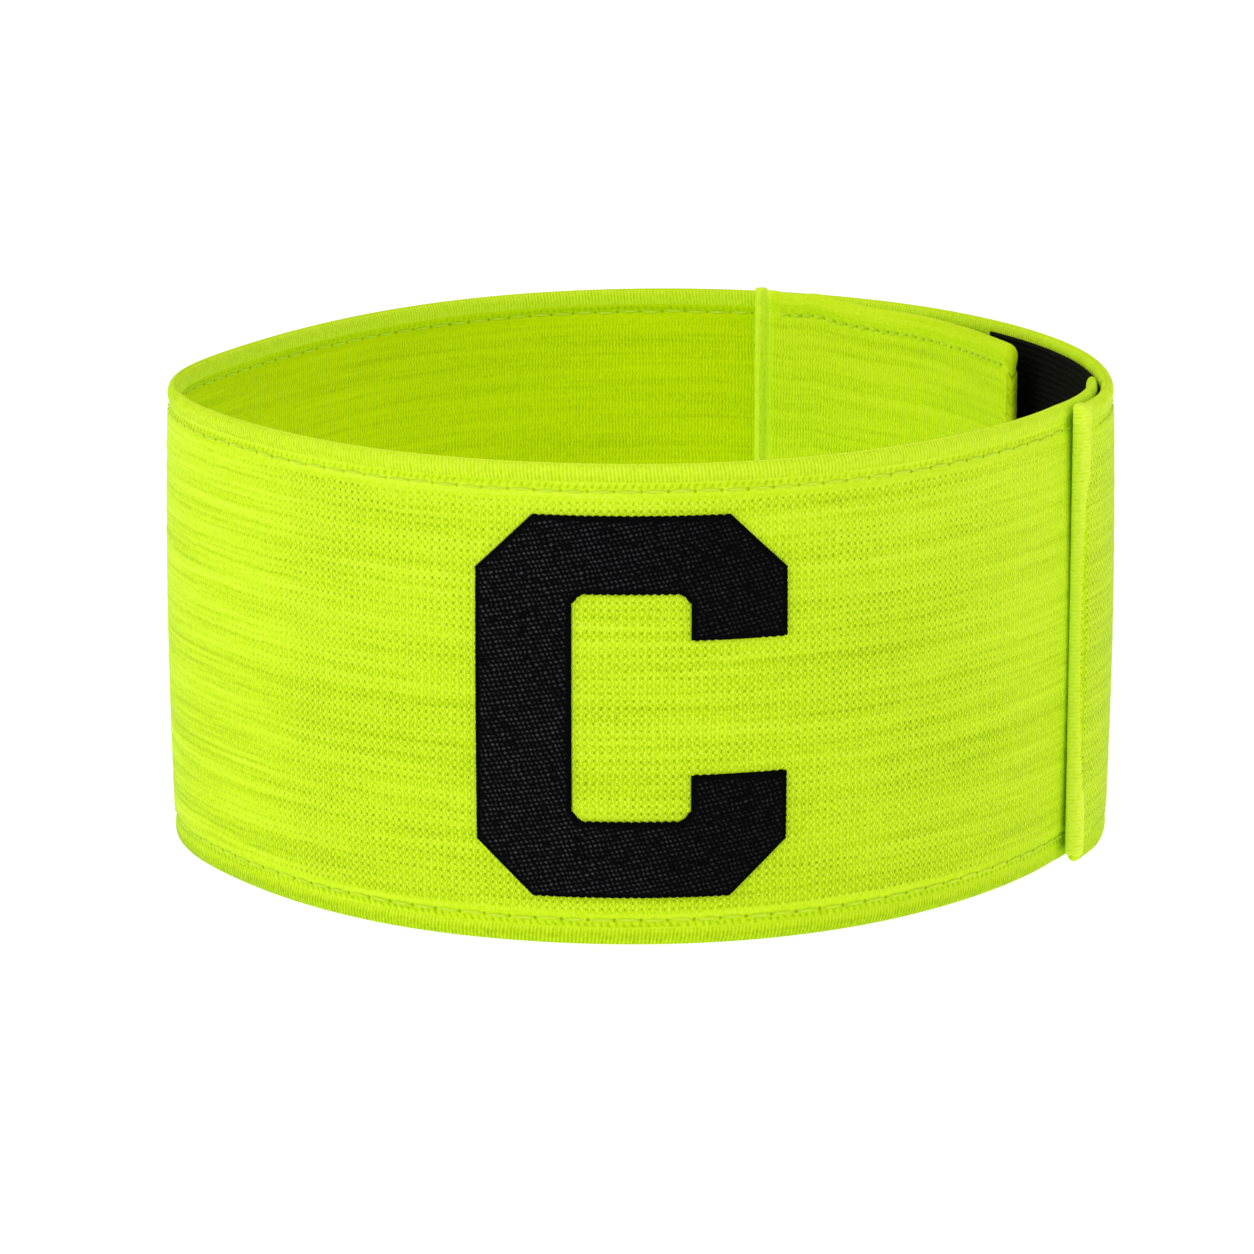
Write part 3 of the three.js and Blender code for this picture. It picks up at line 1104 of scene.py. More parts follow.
class ElasticBand:
    """The long hemmed strip, its overcast hems, the bead over its folded end, and its stitches."""

    @dataclass(frozen=True)
    class Sizes:
        """Sizes of the strip's own details."""

        edge_share: float = 0.55
        fold_width: float = 2.6 * MM
        fold_thickness: float = 1.7 * MM
        fold_setback: float = 0.12 * MM
        fold_step: float = 0.16 * MM
        corner: float = 1.1 * MM
        end_steps: int = 7
        station_step: float = 1.04 * MM
        fine_step: float = 0.22 * MM
        coarse_step: float = 0.56 * MM
        thinning: float = 0.16
        thinned: Span = (14 * MM, 5 * MM)
        relief: float = 0.06 * MM
        relief_edge: float = 3 * MM
        courses: Ripples = Ripples(9, 90 * MM, 1.9 * MM, SEED)
        sewing: Sewing = Sewing(
            3.0 * MM, (0.15 * MM, 0.4 * MM), (0.8, 0.88), 0.1 * MM, 0.1 * MM, 0.18 * MM
        )
        sewn_from: float = 3.2 * MM
        sewn_short: float = 3 * MM

    @dataclass(frozen=True)
    class Bead:
        """Sizes of the bead."""

        half: float = 1.03 * MM
        reach: float = 1.15 * MM
        round: float = 1.1 * MM
        foot: float = 0.35 * MM
        rim: float = 0.42 * MM
        pitch: float = 0.4 * MM
        ribs: float = 0.015
        square: float = 2.6
        sides: int = 40
        sway: Ripples = Ripples(5, 3 * MM, 2 * MM, SEED + 5)

    @dataclass(frozen=True)
    class Wrap:
        """Sizes of an overcast hem."""

        skin: float = 0.09 * MM
        pitch: float = 0.44 * MM
        height: float = 0.03 * MM
        reach: float = 2.25 * MM
        steps: int = 9
        crowding: float = 1.6
        slant: float = 0.35
        sway: Ripples = Ripples(4, 9 * MM, 3 * MM, SEED + 3)

    # How far the folded end has its own section, at shares of the fold's width from the tab's end.
    FOLD_ROWS = [(0, 1), (0.5, 1), (0.74, 0.6), (1.0, -0.3), (1.3, 0), (1.6, 0)]
    # The dimple in the bead's top: a depth, and the share of the bead's section that it has there.
    DIMPLE_ROWS = [(0.8 * MM, 0.17), (1.2 * MM, 0.15)]

    def __init__(self, plan: RingPlan) -> None:
        """Works out the strip's ends.

        Args:
            plan: the sizes that the pieces share.
        """
        self.plan, self.sizes = plan, ElasticBand.Sizes()
        self.start = plan.tab_end - FULL_TURN
        self.length = math.radians(plan.tail_tip - self.start) * plan.outline.radius
        self.edge = self.sizes.edge_share * plan.hem_height

    def angles(self, run: Array) -> Array:
        """Angles at distances from the tab's end."""
        return self.start + np.degrees(run / self.plan.outline.radius)

    def tail_fill(self, from_end: Array) -> Array:
        """How full the section is near the tail's tip: thinner over a stretch, and round at the tip.

        Args:
            from_end: distances from the tip.

        Returns:
            The share of the whole thickness.
        """
        s = self.sizes
        thinner = 1 - s.thinning * smoothstep(-from_end, -s.thinned[0], -s.thinned[1])
        return thinner * rounded(from_end, self.plan.hem_thickness / 2)

    def tail_corner(self, from_end: Array) -> Array:
        """How far the edges are drawn in near the tail's tip."""
        return 0.5 * self.sizes.corner * (1 - rounded(from_end, self.sizes.corner))

    def profile(self, heights: Array, wall: float, hem: float, pull: float) -> tuple[Array, Array]:
        """Middle and half thickness of the strip at each height.

        The edge is half an ellipse, and the hem then eases into the stitch groove and the wall, which
        bows outwards between the hems.

        Args:
            heights: heights above the lower edge.
            wall: thickness of the cloth.
            hem: thickness of the rolled hem.
            pull: depth of the stitch groove on each face.

        Returns:
            Middles and half thicknesses.
        """
        p = self.plan
        depth = np.minimum(heights, p.width - heights)
        edge = -p.hem_inset - p.hem_thickness / 2
        rows = [
            (self.edge, hem / 2, edge),
            (0.9 * p.hem_height, 0.42 * hem, edge),
            (p.stitch_line, wall / 2 - pull, -wall / 2),
            (p.stitch_line + p.stitch_span, wall / 2, -wall / 2),
            (p.width / 2, wall / 2, -wall / 2),
        ]
        halves = eased(depth, [(place, half) for place, half, _ in rows])
        middles = eased(depth, [(place, middle) for place, _, middle in rows])
        halves = np.where(depth < self.edge, hem / 2 * rounded(depth, self.edge), halves)
        return middles + p.bulge(heights), halves

    def plain(self, heights: Array) -> tuple[Array, Array]:
        """The profile of the strip away from its folded end, thinner at the hems by their skin."""
        p = self.plan
        return self.profile(heights, p.wall, p.hem_thickness - 2 * ElasticBand.Wrap.skin, p.stitch_pull)

    def strip(self) -> Piece:
        """The strip itself: its section carried round, with long shallow ripples of the courses.

        Returns:
            The linked object.
        """
        p, s = self.plan, self.sizes
        nose = s.fold_thickness / 2
        near = s.fold_setback + rim_steps(nose, s.end_steps)
        fold_end = self.FOLD_ROWS[-1][0] * s.fold_width
        fold = np.concatenate([near, np.arange(near[-1], fold_end, s.fold_step)[1:]])
        tip = rim_steps(p.hem_thickness / 2, s.end_steps)
        count = round((self.length - fold[-1] - tip[-1]) / s.station_step)
        run = np.linspace(fold[-1], self.length - tip[-1], count + 1)[1:-1]
        from_start = np.concatenate([fold, run, self.length - tip[::-1]])
        from_end = self.length - from_start
        angles = self.angles(from_start)

        steps = HeightSteps(self.edge, p.stitch_line + p.stitch_span, s.fine_step, s.coarse_step)
        heights = steps.divide(p.width)
        folded = eased(from_start / s.fold_width, self.FOLD_ROWS)[:, None]
        thick = self.profile(heights, s.fold_thickness, s.fold_thickness, 0.0)
        section = Section(heights, *(a + folded * (b - a) for a, b in zip(self.plain(heights), thick)))

        fill = np.maximum(THINNEST, rounded(from_start - near[0], nose) * self.tail_fill(from_end))
        trim = s.corner * (1 - rounded(from_start, s.corner)) + self.tail_corner(from_end)
        level = np.zeros_like(angles)
        at = Stations(angles, p.strip_lift(angles), level, fill, level, trim)
        around = section.loop()[0]
        along = p.outline.lengths(angles)
        depth = np.minimum(around, p.width - around)
        calm = smoothstep(depth, p.stitch_line, p.stitch_line + s.relief_edge)
        relief = s.relief * calm * s.courses.at(along[:, None], around[None])
        grid = carried(p.outline, section, at, relief)
        return MeshMaker.sweep("band_strip", grid, along, around, np.repeat([0.0, 1.0], len(heights)))

    def bead(self) -> Piece:
        """The overcast fold at the tab's end: an upright rod, ribbed, round below and dimpled on top.

        Its section is |t / reach|^square + |o / half|^square = 1, scaled by 1 + ribs cos of the height.

        Returns:
            The linked object.
        """
        p, b = self.plan, ElasticBand.Bead()
        low = np.linspace(0.1, QUARTER, 9)
        rim = np.linspace(0, math.pi, 13)[1:]
        foot = b.foot + b.round
        shoulder = p.width - b.rim
        count = round((shoulder - foot) / (b.pitch / 4))
        dimple, dimple_share = np.array(self.DIMPLE_ROWS).T
        heights = np.concatenate([
            foot - b.round * np.cos(low), np.linspace(foot, shoulder, count)[1:],
            shoulder + b.rim * np.sin(rim), p.width - dimple,
        ])
        scale = np.concatenate([
            np.sin(low), np.ones(count - 1), 1 - b.rim / b.half * (1 - np.cos(rim)), dimple_share,
        ])
        turn = np.linspace(0, math.tau, b.sides, endpoint=False)
        around, out = np.cos(turn), np.sin(turn)
        size = (np.abs(around) ** b.square + np.abs(out) ** b.square) ** (-1 / b.square)
        sway = b.sway.at(turn[None] * MM, heights[:, None]) * 1.5
        ribs = 1 + b.ribs * np.cos(math.tau * heights[:, None] / b.pitch + sway + 0.5 * out[None])
        wide = size[None] * scale[:, None] * ribs
        level = p.strip_lift(np.array([self.start]))[0] - p.hem_inset - p.hem_thickness / 2
        angles = self.angles(b.reach * (1 + wide * around))
        grid = p.outline.place(angles, level + b.half * wide * out, heights[:, None])
        return MeshMaker.sweep("band_fold_bead", grid, heights, turn * b.half, turn * 0)

    def hem_wrap(self, name: str, upper: bool) -> Piece:
        """One overcast edge: the hem's profile pushed out along its normal by a fine cosine of ribs.

        Args:
            name: the object's name.
            upper: whether it is the upper edge.

        Returns:
            The linked object.
        """
        p, w = self.plan, ElasticBand.Wrap()
        turn = np.linspace(0, 1, w.steps)
        most = w.skin + w.height
        depths = most + (w.reach - most) * turn**w.crowding
        middles, halves = self.plain(depths - most * (1 - turn) ** 4)
        heights = p.width - depths if upper else depths
        sign = -1.0 if upper else 1.0
        x = np.concatenate([(middles + halves)[::-1], middles - halves])
        z = np.concatenate([heights[::-1], heights])
        step_x, step_z = np.gradient(x), np.gradient(z)
        size = np.hypot(step_x, step_z)
        normal_x, normal_z = -sign * step_z / size, sign * step_x / size

        tip = p.hem_thickness / 2
        bead = ElasticBand.Bead.reach
        count = round((self.length - bead - tip) / (w.pitch / 4))
        run = np.linspace(bead, self.length - tip, count + 1)[:-1]
        from_start = np.concatenate([run, self.length - rim_steps(tip, self.sizes.end_steps)[::-1]])
        from_end = self.length - from_start
        angles = self.angles(from_start)
        along = p.outline.lengths(angles)

        share = np.linspace(0, 1, len(x))
        fade = np.sin(math.pi * share) ** 0.35
        phase = math.tau * (along[:, None] / w.pitch + w.slant * share[None])
        sway = 1.1 * w.sway.at(share[None] * 4 * MM, along[:, None])
        push = np.minimum(w.skin * (1.5 * fade - 0.6) + w.height * fade * np.cos(phase + sway), most)
        fill = np.maximum(THINNEST, self.tail_fill(from_end))[:, None]
        offsets = p.strip_lift(angles)[:, None] + middles[0] + fill * (x - middles[0] + push * normal_x)
        trim = sign * self.tail_corner(from_end)[:, None]
        grid = p.outline.place(angles[:, None], offsets, z + push * normal_z + trim)
        girth = np.concatenate([[0], np.cumsum(np.hypot(np.diff(x), np.diff(z)))])
        if upper:
            grid, girth = grid[:, ::-1], girth[::-1]
        return MeshMaker.sweep(name, grid, along, girth, share * 0)

    def hem_stitches(self) -> Piece:
        """Lockstitches along both hems, on both faces: each thread spans most of one pitch.

        Returns:
            The linked object.
        """
        p, s = self.plan, self.sizes
        first = self.start + p.outline.degrees(s.sewn_from)
        dense = np.linspace(first, p.tail_tip - p.outline.degrees(s.sewn_short), 4000)
        run = p.outline.lengths(dense)
        numbers = np.arange(math.ceil(run[0] / s.sewing.pitch), int(run[-1] / s.sewing.pitch))
        draw = np.random.default_rng(SEED)
        rows = []
        for height in (p.stitch_line, p.width - p.stitch_line):
            for face in (1, -1):
                a, b, sway = s.sewing.row(draw, numbers, run, dense)
                middle, half = self.plain(np.array([height]))
                offset = middle[0] + face * (half[0] - s.sewing.sink)
                ends = [
                    p.outline.place(at, offset + p.strip_lift(at), height + change)
                    for at, change in zip((a, b), sway)
                ]
                rows.append((*ends, p.outline.normals((a + b) / 2) * face))
        return s.sewing.thread("band_stitches", rows)

    def build(self) -> list[Piece]:
        """Builds and dresses the strip and the pieces on it.

        Returns:
            The strip first, then its hems, its bead and its stitches.
        """
        pieces = [
            self.strip(), self.hem_wrap("band_hem_upper", True), self.hem_wrap("band_hem_lower", False),
            self.bead(), self.hem_stitches(),
        ]
        finishes = [
            # The upper hem's crest has a brighter tone than the cloth: painted light from above.
            NeonKnit(KnitFace.STRIP), NeonKnit(KnitFace.HEM, 0.78),
            # The lower hem's crest has a much darker tone than the cloth: painted shade underneath.
            NeonKnit(KnitFace.SHADED_LOW_HEM, 0.39, ribbing=0.18),
            # The bead is a brighter, whiter copy of the same knit: painted light on the rounded roll.
            NeonKnit(KnitFace.BEAD, 0.92, bright_and_sheen=(0.8, 1.0, 0.07, 1), ribbing=0.08), SewingThread(),
        ]
        dress(pieces, [finish.build() for finish in finishes])
        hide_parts("elastic_band")
        run = self.plan.outline.lengths(np.linspace(self.start, self.plan.tail_tip, 2000))
        return pieces


class InnerFlap:
    """The doubled flap sewn inside the closure along a raised seam."""

    @dataclass(frozen=True)
    class Sizes:
        """Sizes of the flap: the solid's own, apart from its seam's rise, its turn and its wavy edge."""

        length: float = 50 * MM
        thickness: float = 2.0 * MM
        inset: float = 0.6 * MM
        edge: float = 2.2 * MM
        edge_share: float = 0.6
        free_angle: float = 148.0
        lift: float = 3.3 * MM
        shift: float = 0.6
        corner: float = 1.6 * MM
        seam_width: float = 1.8 * MM
        seam_swell: float = 0.45 * MM
        seam_rise: float = 0.9
        seam_round: float = 0.45
        wave_rise: float = 0.95 * MM
        ridge: float = 16.5 * MM
        ridge_height: float = 0.22 * MM
        ridge_spread: float = 0.9 * MM
        groove: float = 1.9 * MM
        groove_depth: float = 0.1 * MM
        groove_spread: float = 0.5 * MM
        stitch_depth: float = 2.7 * MM
        stitch_foot: float = 1.35
        fine_step: float = 0.2 * MM
        coarse_step: float = 0.5 * MM
        end_steps: int = 9
        relief: float = 0.06 * MM
        relief_edge: float = 3 * MM
        courses: Ripples = Ripples(7, 70 * MM, 2.2 * MM, SEED + 1)
        sewing: Sewing = Sewing(
            1.75 * MM, (0.2 * MM, 0.3 * MM), (0.62, 0.74), 0.12 * MM, 0.14 * MM, 0.22 * MM
        )
        unsewn: float = 4 * MM
        # The flap's face inside the ring takes this share of the inner face's painted shade, except on its
        # seam ridge.
        shaded: float = 0.45
        shaded_from: float = 1.2

    # The seam's swelling as a share of its whole, at distances back from it in widths of the seam.
    SWELL_ROWS = [(0, 1), (0.6, 1), (1.0, -0.5), (1.4, 0), (2.0, 0)]

    def __init__(self, plan: RingPlan) -> None:
        """Works out where the flap starts and ends.

        Args:
            plan: the sizes that the pieces share.
        """
        self.plan, self.sizes = plan, InnerFlap.Sizes()
        self.seam = plan.flap_seam - self.sizes.shift
        self.end = self.seam - plan.outline.degrees(self.sizes.length)
        self.width = plan.width - 2 * self.sizes.inset

    def lift(self, angles: Array) -> Array:
        """Offset of the flap's outer face: on the strip at the seam and standing clear at the free end.

        Args:
            angles: degrees from the front.

        Returns:
            The offset at each angle.
        """
        p, s = self.plan, self.sizes
        clear = s.lift * (1 - smoothstep(angles, self.end, s.free_angle))
        sewn = 0.8 * p.clearance * smoothstep(angles, s.free_angle, self.seam - 3)
        return p.strip_lift(angles - FULL_TURN) - p.strip_depth - p.clearance - clear + sewn

    def halves(self, heights: Array) -> Array:
        """Half thickness: a round edge, a stitch groove and the flat cloth.

        Args:
            heights: heights above the flap's lower edge.

        Returns:
            The half thickness at each height.
        """
        s = self.sizes
        depth = np.minimum(heights, self.width - heights)
        full = s.thickness / 2
        round_to = s.edge_share * s.edge
        rows = [
            (round_to, full), (s.stitch_depth, 0.76 * full), (s.stitch_foot * s.stitch_depth, 0.96 * full),
            (self.width / 2, full),
        ]
        return np.where(depth < round_to, full * rounded(depth, round_to), eased(depth, rows))

    def waves(self, length: Array) -> Array:
        """Rise of the upper edge: wavy near the seam, and none far from it.

        Args:
            length: distance from the free end.

        Returns:
            The rise at each distance.
        """
        back = (self.sizes.length - length) / self.sizes.seam_width
        return self.sizes.wave_rise * smoothstep(-back, -10, -4) * (1 + 0.14 * np.sin(back * 1.6))

    def flap(self) -> Piece:
        """The flap: its section carried from the rounded free end to the raised seam.

        Returns:
            The linked object.
        """
        p, s = self.plan, self.sizes
        steps = HeightSteps(
            s.edge_share * s.edge, s.stitch_foot * s.stitch_depth, s.fine_step, s.coarse_step
        )
        heights = steps.divide(self.width)
        section = Section(heights + s.inset, np.full_like(heights, -s.thickness / 2), self.halves(heights))
        near = rim_steps(s.thickness / 2, s.end_steps)
        seam_edge = s.seam_round * s.seam_width
        seam = np.concatenate([rim_steps(seam_edge, s.end_steps), np.linspace(0.5, 1.6, 12) * s.seam_width])
        run = np.arange(near[-1], s.length - seam[-1], s.coarse_step)[1:]
        length = np.concatenate([near, run, s.length - seam[::-1]])
        angles = self.end + np.degrees(length / p.outline.radius)

        back = (s.length - length) / s.seam_width
        swell = s.seam_swell * eased(back, self.SWELL_ROWS)
        swell = swell + s.ridge_height * bump_at(length, s.ridge, s.ridge_spread)
        swell = swell - s.groove_depth * bump_at(length, s.groove, s.groove_spread)
        rise = np.maximum(swell * (back < self.SWELL_ROWS[-1][0]), 0) * s.seam_rise + self.waves(length)
        fill = np.maximum(THINNEST, rounded(length, s.thickness / 2) * rounded(s.length - length, seam_edge))
        trim = s.corner * (1 - rounded(length, s.corner))
        at = Stations(angles, self.lift(angles) - np.maximum(swell, 0), swell, fill, rise, trim)

        around = section.loop()[0]
        along = p.outline.lengths(angles)
        depth = np.minimum(around - s.inset, self.width - around + s.inset)
        calm = smoothstep(depth, s.edge, s.edge + s.relief_edge)
        relief = s.relief * calm * s.courses.at(along[:, None], around[None])
        grid = carried(p.outline, section, at, relief)
        # The inside attribute carries painted shade: all of it on the face against the strip, a share on the
        # face inside the ring, none on the seam ridge.
        outer = np.ones((len(length), len(heights)))
        inner = np.where(back > s.shaded_from, s.shaded, 0.0)[:, None] * outer
        return MeshMaker.sweep("flap_cloth", grid, along, around, np.concatenate([outer, inner], axis=1))

    def stitches(self) -> Piece:
        """Topstitches along the flap's long edges, on the face that shows inside the ring.

        Returns:
            The linked object.
        """
        p, s = self.plan, self.sizes
        dense = np.linspace(self.end, self.seam, 2000)
        run = p.outline.lengths(dense)
        numbers = 1 + np.arange(int((run[-1] - s.unsewn) / s.sewing.pitch))
        draw = np.random.default_rng(SEED + 2)
        rows = []
        for height in (s.stitch_depth, self.width - s.stitch_depth):
            a, b, sway = s.sewing.row(draw, numbers, run, dense)
            rise = self.waves(np.radians(a - self.end) * p.outline.radius) * height / self.width
            offset = -s.thickness / 2 - self.halves(np.array([height]))[0] + s.sewing.sink
            level = height + s.inset + rise
            ends = [
                p.outline.place(at, offset + self.lift(at), level + change)
                for at, change in zip((a, b), sway)
            ]
            rows.append((*ends, -p.outline.normals((a + b) / 2)))
        return s.sewing.thread("flap_stitches", rows)

    def build(self) -> list[Piece]:
        """Builds and dresses the flap.

        Returns:
            The flap and its stitches.
        """
        s = self.sizes
        flap, stitches = self.flap(), self.stitches()
        knit = NeonKnit(
            KnitFace.FLAP, groove=(s.stitch_depth + s.inset) / MM, pitch=s.sewing.pitch / MM,
            sewn=(s.length - s.unsewn) / MM,
        )
        dress([flap, stitches], [knit.build(), SewingThread().build()])
        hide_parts("inner_flap")
        return [flap, stitches]


class HookPatch:
    """The black hook tape on the inner face of the tab."""

    @dataclass(frozen=True)
    class Sizes:
        """Sizes of the tape's own details."""

        edge: float = 0.4 * MM
        gap: float = 0.02 * MM
        end: float = 0.5 * MM
        end_fill: float = 0.1
        fine_to: float = 1.2 * MM
        fine_step: float = 0.3 * MM
        coarse_step: float = 1.2 * MM
        stations: int = 110

    def __init__(self, plan: RingPlan) -> None:
        """Works out the tape's end and its width.

        Args:
            plan: the sizes that the pieces share.
        """
        self.plan, self.sizes = plan, HookPatch.Sizes()
        self.end = plan.hook_start + plan.outline.degrees(plan.hook_length)
        self.width = plan.width - 2 * plan.hook_foot

    def tape(self) -> Piece:
        """The tape: a thin section with round edges carried under the tab's wall.

        Returns:
            The linked object.
        """
        p, s = self.plan, self.sizes
        heights = HeightSteps(s.edge, s.fine_to, s.fine_step, s.coarse_step).divide(self.width)
        half = p.hook_thickness / 2
        depth = np.minimum(heights, self.width - heights)
        middles = -p.strip_depth - half - s.gap + p.bulge(heights + p.hook_foot)
        section = Section(heights + p.hook_foot, middles, half * rounded(depth, s.edge))
        angles = np.linspace(p.hook_start, self.end, s.stations)
        near = np.radians(np.minimum(angles - p.hook_start, self.end - angles)) * p.outline.radius
        fill = np.maximum(s.end_fill, rounded(near, s.end))
        level = np.zeros_like(angles)
        at = Stations(angles, p.strip_lift(angles - FULL_TURN), level, fill, level, level)
        grid = carried(p.outline, section, at)
        return MeshMaker.sweep("hook_tape", grid, p.outline.lengths(angles), section.loop()[0])

    def build(self) -> list[Piece]:
        """Builds and dresses the tape.

        Returns:
            The tape.
        """
        tape = self.tape()
        dress([tape], [HookTape().build()])
        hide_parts("hook_patch")
        return [tape]


class LetterPatch:
    """The black block letter, a thin sewn patch that follows the front of the strip."""

    @dataclass(frozen=True)
    class Sizes:
        """Sizes of the letter: its outline is the solid's, and its border has small teeth."""

        width: float = 34.4 * MM
        height: float = 43.6 * MM
        stem: float = 10.6 * MM
        bar: float = 8.8 * MM
        mouth: float = 15.4 * MM
        chamfer: float = 6.2 * MM
        nick: float = 1.1 * MM
        shift: float = -1.1 * MM
        thickness: float = 0.45 * MM
        lift: float = 0.01 * MM
        sink: float = 0.05 * MM
        edge: float = 0.3 * MM
        border: float = 1 * MM
        grid: float = 0.2 * MM
        least: int = 6
        across: int = 48
        crowding: float = 0.9
        scallop: float = 0.17 * MM
        pitch: float = 0.85 * MM
        reach: float = 30.0

    def __init__(self, plan: RingPlan) -> None:
        """Takes the shared plan."""
        self.plan, self.sizes = plan, LetterPatch.Sizes()

    def rails(self) -> tuple[Array, Array]:
        """The letter's outlines from one terminal to the other.

        Returns:
            The outer and the inner outline, with matching corners.
        """
        s = self.sizes
        right, top = s.width / 2, s.height / 2
        tip, bar, mouth = right - s.stem, top - s.bar, s.mouth / 2
        outer = [
            (right, mouth), (right, top - s.chamfer), (right - s.chamfer, top),
            (s.chamfer - right, top), (-right, top - s.chamfer),
        ]
        inner = [
            (tip, mouth), (tip, bar - s.nick), (tip - s.nick, bar),
            (s.nick - tip, bar), (-tip, bar - s.nick),
        ]
        upper = np.array([outer, inner])
        return tuple(np.concatenate([rail, rail[::-1] * (1, -1)]) for rail in upper)

    def on_ring(self, x: Array, z: Array, offsets: Array) -> Array:
        """Puts points of the upright letter on the front of the strip.

        Args:
            x: distance to the right of the letter's middle.
            z: height above the letter's middle.
            offsets: distance outwards from the strip's face.

        Returns:
            The points in space.
        """
        p, s = self.plan, self.sizes
        angles = np.linspace(-s.reach, s.reach, 601)
        aside = p.outline.points(angles)[:, 0] - p.outline.middle[0]
        height = z + p.width / 2
        at = np.interp(x + s.shift, aside, angles)
        return p.outline.place(at, offsets + p.bulge(height), height)

    def patch(self) -> Piece:
        """The patch: a ruled surface between its two outlines, domed at the edges by a quarter circle.

        The rulings crowd towards both edges by t - c sin(2 pi t) / 2 pi.

        Returns:
            The linked object.
        """
        s = self.sizes
        outer, inner = self.rails()
        legs = np.linalg.norm(np.diff((outer + inner) / 2, axis=0), axis=1)
        counts = np.maximum(s.least, np.round(legs / s.grid).astype(int))
        corner = np.concatenate([[0], np.cumsum(counts)])
        first, last = self.along(outer, corner), self.along(inner, corner)
        turn = np.linspace(0, 1, s.across)
        share = turn - s.crowding * np.sin(math.tau * turn) / math.tau
        flat = first[:, None] * (1 - share[None, :, None]) + last[:, None] * share[None, :, None]
        width = np.linalg.norm(last - first, axis=1)[:, None]
        legs = np.linalg.norm(np.diff((first + last) / 2, axis=0), axis=1)
        run = np.concatenate([[0], np.cumsum(legs)])
        to_side = np.minimum(share, 1 - share)[None] * width
        to_end = np.minimum(run, run[-1] - run)[:, None]
        depth = np.minimum(to_side, to_end)
        flat = flat + self.scallops(flat, depth, to_end < to_side)
        front = self.on_ring(flat[..., 0], flat[..., 1], s.thickness * rounded(depth, s.edge) + s.lift)
        back = self.on_ring(flat[..., 0], flat[..., 1], np.full(flat.shape[:2], -s.sink))
        grid = np.concatenate([front, back[:, ::-1]], axis=1)
        uv = np.concatenate([flat, flat[:, ::-1]], axis=1)
        border = np.clip(np.concatenate([depth, depth[:, ::-1]], axis=1) / s.border, 0, 1)
        return MeshMaker.build("letter_patch", grid, ladder_faces(*grid.shape[:2]), uv, border)

    def along(self, rail: Array, corner: Array) -> Array:
        """Points of an outline at every whole number, its corners lying at those numbers."""
        at = np.arange(corner[-1] + 1)
        return np.stack([np.interp(at, corner, rail[:, i]) for i in (0, 1)], axis=-1)

    def scallops(self, flat: Array, depth: Array, at_end: Array) -> Array:
        """Shifts the border by |sin| teeth: wide ones on level edges, half as wide on upright ones.

        Args:
            flat: points of the upright letter.
            depth: distance of each point from the border.
            at_end: whether a point is nearer a terminal than a side.

        Returns:
            The shift of each point.
        """
        s = self.sizes
        right, top = s.width / 2, s.height / 2
        x, z = flat[..., 0], flat[..., 1]
        near = 1 - np.clip(depth / (3 * s.edge), 0, 1)
        wide = np.abs(np.sin(math.pi * x / s.pitch)) - 0.5
        fine = 0.6 * (np.abs(np.sin(math.tau * z / s.pitch)) - 0.5)
        upright = (np.abs(z) < top - s.chamfer) & (np.abs(x) > right - s.stem)
        level = (np.abs(x) < right - s.chamfer) & ~upright
        up = np.sign(z) * np.where(np.abs(z) > top - s.bar / 2, 1, -1)
        out = np.sign(x) * np.where(np.abs(x) > right - s.stem / 2, 1, -1)
        lift = np.where(at_end, -np.sign(z) * wide, np.where(level, up * wide, 0))
        shift = np.where(~at_end & upright, out * fine, 0)
        return s.scallop * near[..., None] * np.stack([shift, lift], axis=-1)

    def area(self) -> float:
        """Area of the flat letter, from its outline by the shoelace formula.

        Returns:
            The area.
        """
        outer, inner = self.rails()
        loop = np.concatenate([outer, inner[::-1]])
        after = np.roll(loop, -1, axis=0)
        return abs((loop[:, 0] * after[:, 1] - loop[:, 1] * after[:, 0]).sum()) / 2

    def build(self) -> list[Piece]:
        """Builds and dresses the letter.

        Returns:
            The letter.
        """
        patch = self.patch()
        dress([patch], [LetterSatin().build()])
        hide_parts("letter_c")
        self.area()
        return [patch]


@dataclass(frozen=True)
class SoftLight:
    """One square soft light that points at the ring's middle. Its power is a share of the key's."""

    name: str
    place: tuple[float, float, float]
    size: float
    share: float
    aim: tuple[float, float, float] = (0, 0, 0.03)

    def build(self, key: float) -> None:
        """Puts up the light.

        Args:
            key: the key light's watts.
        """
        data = bpy.data.lights.new(self.name, "AREA")
        data.shape, data.size, data.energy = "SQUARE", self.size, self.share * key
        made = bpy.data.objects.new(self.name, data)
        made.location = self.place
        x, y, z = np.subtract(self.place, self.aim)
        made.rotation_euler = (math.atan2(math.hypot(x, y), z), 0, math.atan2(y, x) + QUARTER)
        bpy.context.scene.collection.objects.link(made)


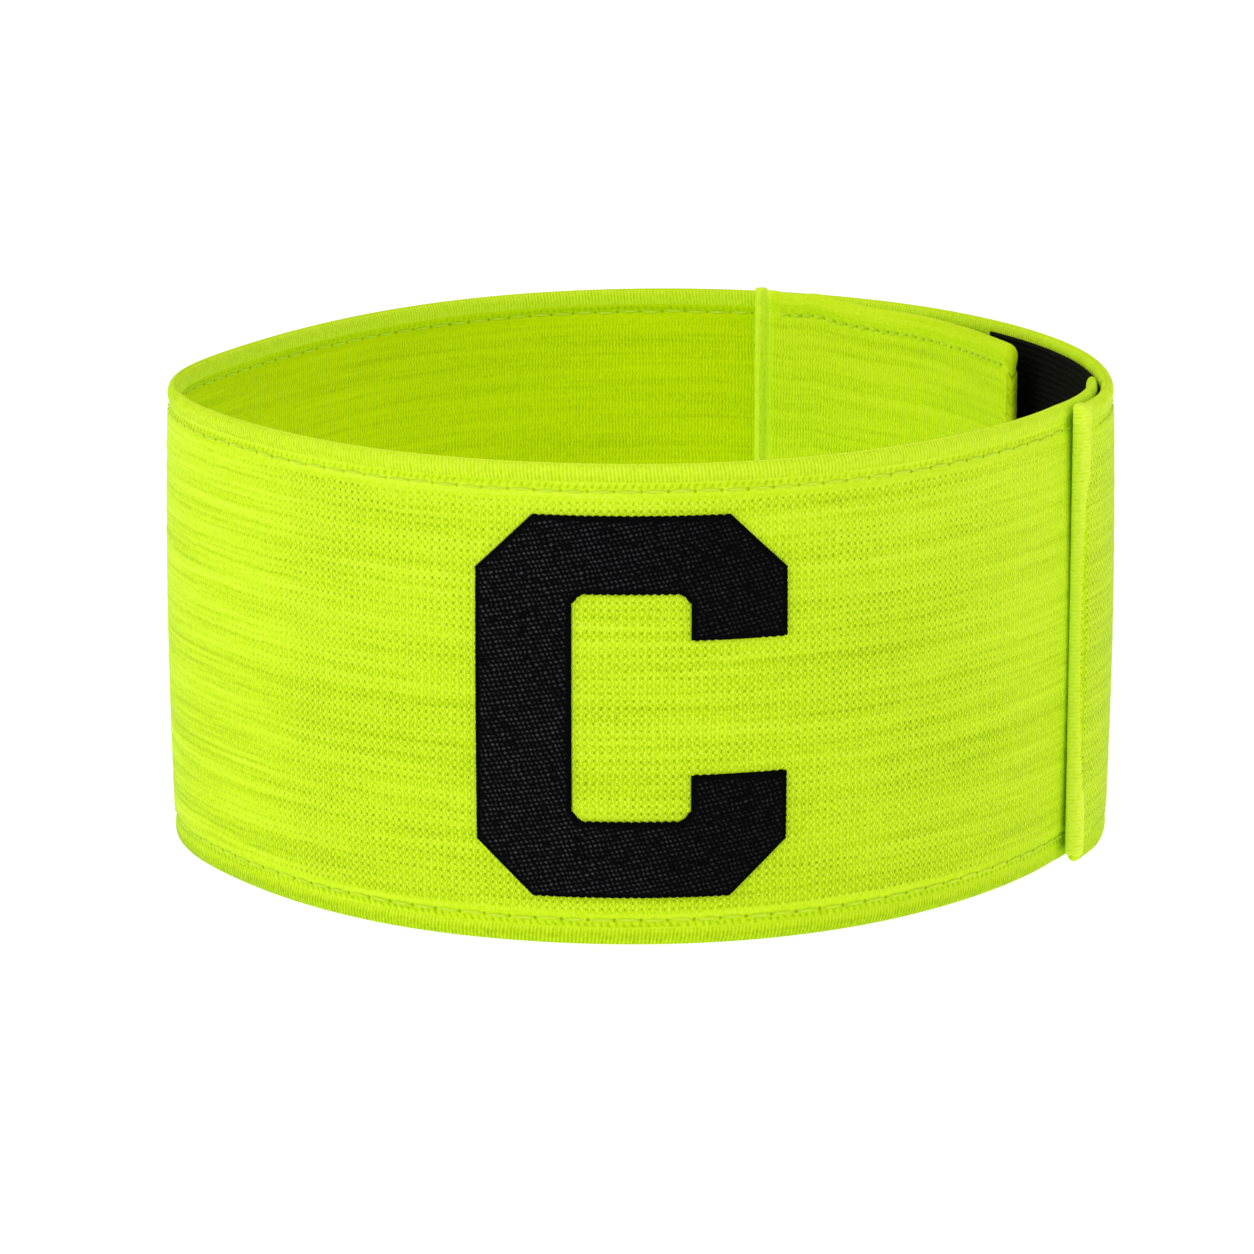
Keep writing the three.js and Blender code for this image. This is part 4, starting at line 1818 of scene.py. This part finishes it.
class Studio:
    """The floor, the lights and the camera."""

    LIGHTS = (
        SoftLight("key", (-0.95, -0.8, 0.8), 0.9, 1.0),
        SoftLight("fill", (1.1, -0.5, 0.7), 0.9, 0.5),
        SoftLight("top", (-0.1, 0.2, 1.4), 1.0, 0.4),
    )

    @dataclass(frozen=True)
    class Sizes:
        """Places and strengths in the studio. The focal length is in widths of the picture."""

        floor: float = 6.0
        floor_drop: float = 0.02 * MM
        floor_points: int = 9
        eye: tuple[float, float, float] = (-1.73 * MM, -657.4 * MM, 178.8 * MM)
        pitch: float = 13.306
        focal: float = 5584 / 1254
        sensor: float = 36.0
        clip: Span = (0.01, 50.0)
        world: float = 0.46
        key: float = 7.6

    def __init__(self) -> None:
        """Takes the studio's sizes."""
        self.sizes = Studio.Sizes()

    def camera(self) -> None:
        """The camera at the photograph's height, distance and lens."""
        s = self.sizes
        data = bpy.data.cameras.new("camera")
        data.sensor_width, data.lens = s.sensor, s.focal * s.sensor
        data.clip_start, data.clip_end = s.clip
        eye = bpy.data.objects.new("camera", data)
        eye.location = s.eye
        eye.rotation_euler = (math.radians(90 - s.pitch), 0, 0)
        bpy.context.scene.collection.objects.link(eye)
        bpy.context.scene.camera = eye

    def floor(self) -> None:
        """The floor: a square sheet just under the level of the strip's lower edge."""
        s = self.sizes
        count = s.floor_points
        side = np.linspace(-s.floor / 2, s.floor / 2, count)
        x, y = np.meshgrid(side, side, indexing="ij")
        points = np.stack([x, y, np.full_like(x, -s.floor_drop)], axis=-1)
        cell = np.arange(count - 1)
        first = (cell[:, None] * count + cell[None]).reshape(-1)
        faces = np.stack([first, first + count, first + count + 1, first + 1], axis=-1)
        floor = MeshMaker.build("floor", points, faces, points[..., :2])
        floor.data.materials.append(StudioFloor().build())

    def world(self) -> None:
        """An even white surrounding."""
        world = bpy.data.worlds.new("studio")
        world.use_nodes = True
        ground = world.node_tree.nodes["Background"]
        ground.inputs["Color"].default_value = (1, 1, 1, 1)
        ground.inputs["Strength"].default_value = self.sizes.world
        bpy.context.scene.world = world

    def build(self) -> None:
        """Sets up the studio."""
        self.world()
        self.floor()
        self.camera()
        for light in self.LIGHTS:
            light.build(self.sizes.key)
        view = bpy.context.scene.view_settings
        view.view_transform, view.look = "Standard", "None"


def main() -> None:
    """Builds the studio and every piece of the armband."""
    logging.basicConfig(level=logging.INFO, format="%(name)s: %(message)s")
    Studio().build()
    plan = RingPlan()
    for maker in (ElasticBand(plan), InnerFlap(plan), HookPatch(plan), LetterPatch(plan)):
        for piece in maker.build():
            LOG.info("%s has %d faces", piece.name, len(piece.data.polygons))


if __name__ == "__main__":
    main()
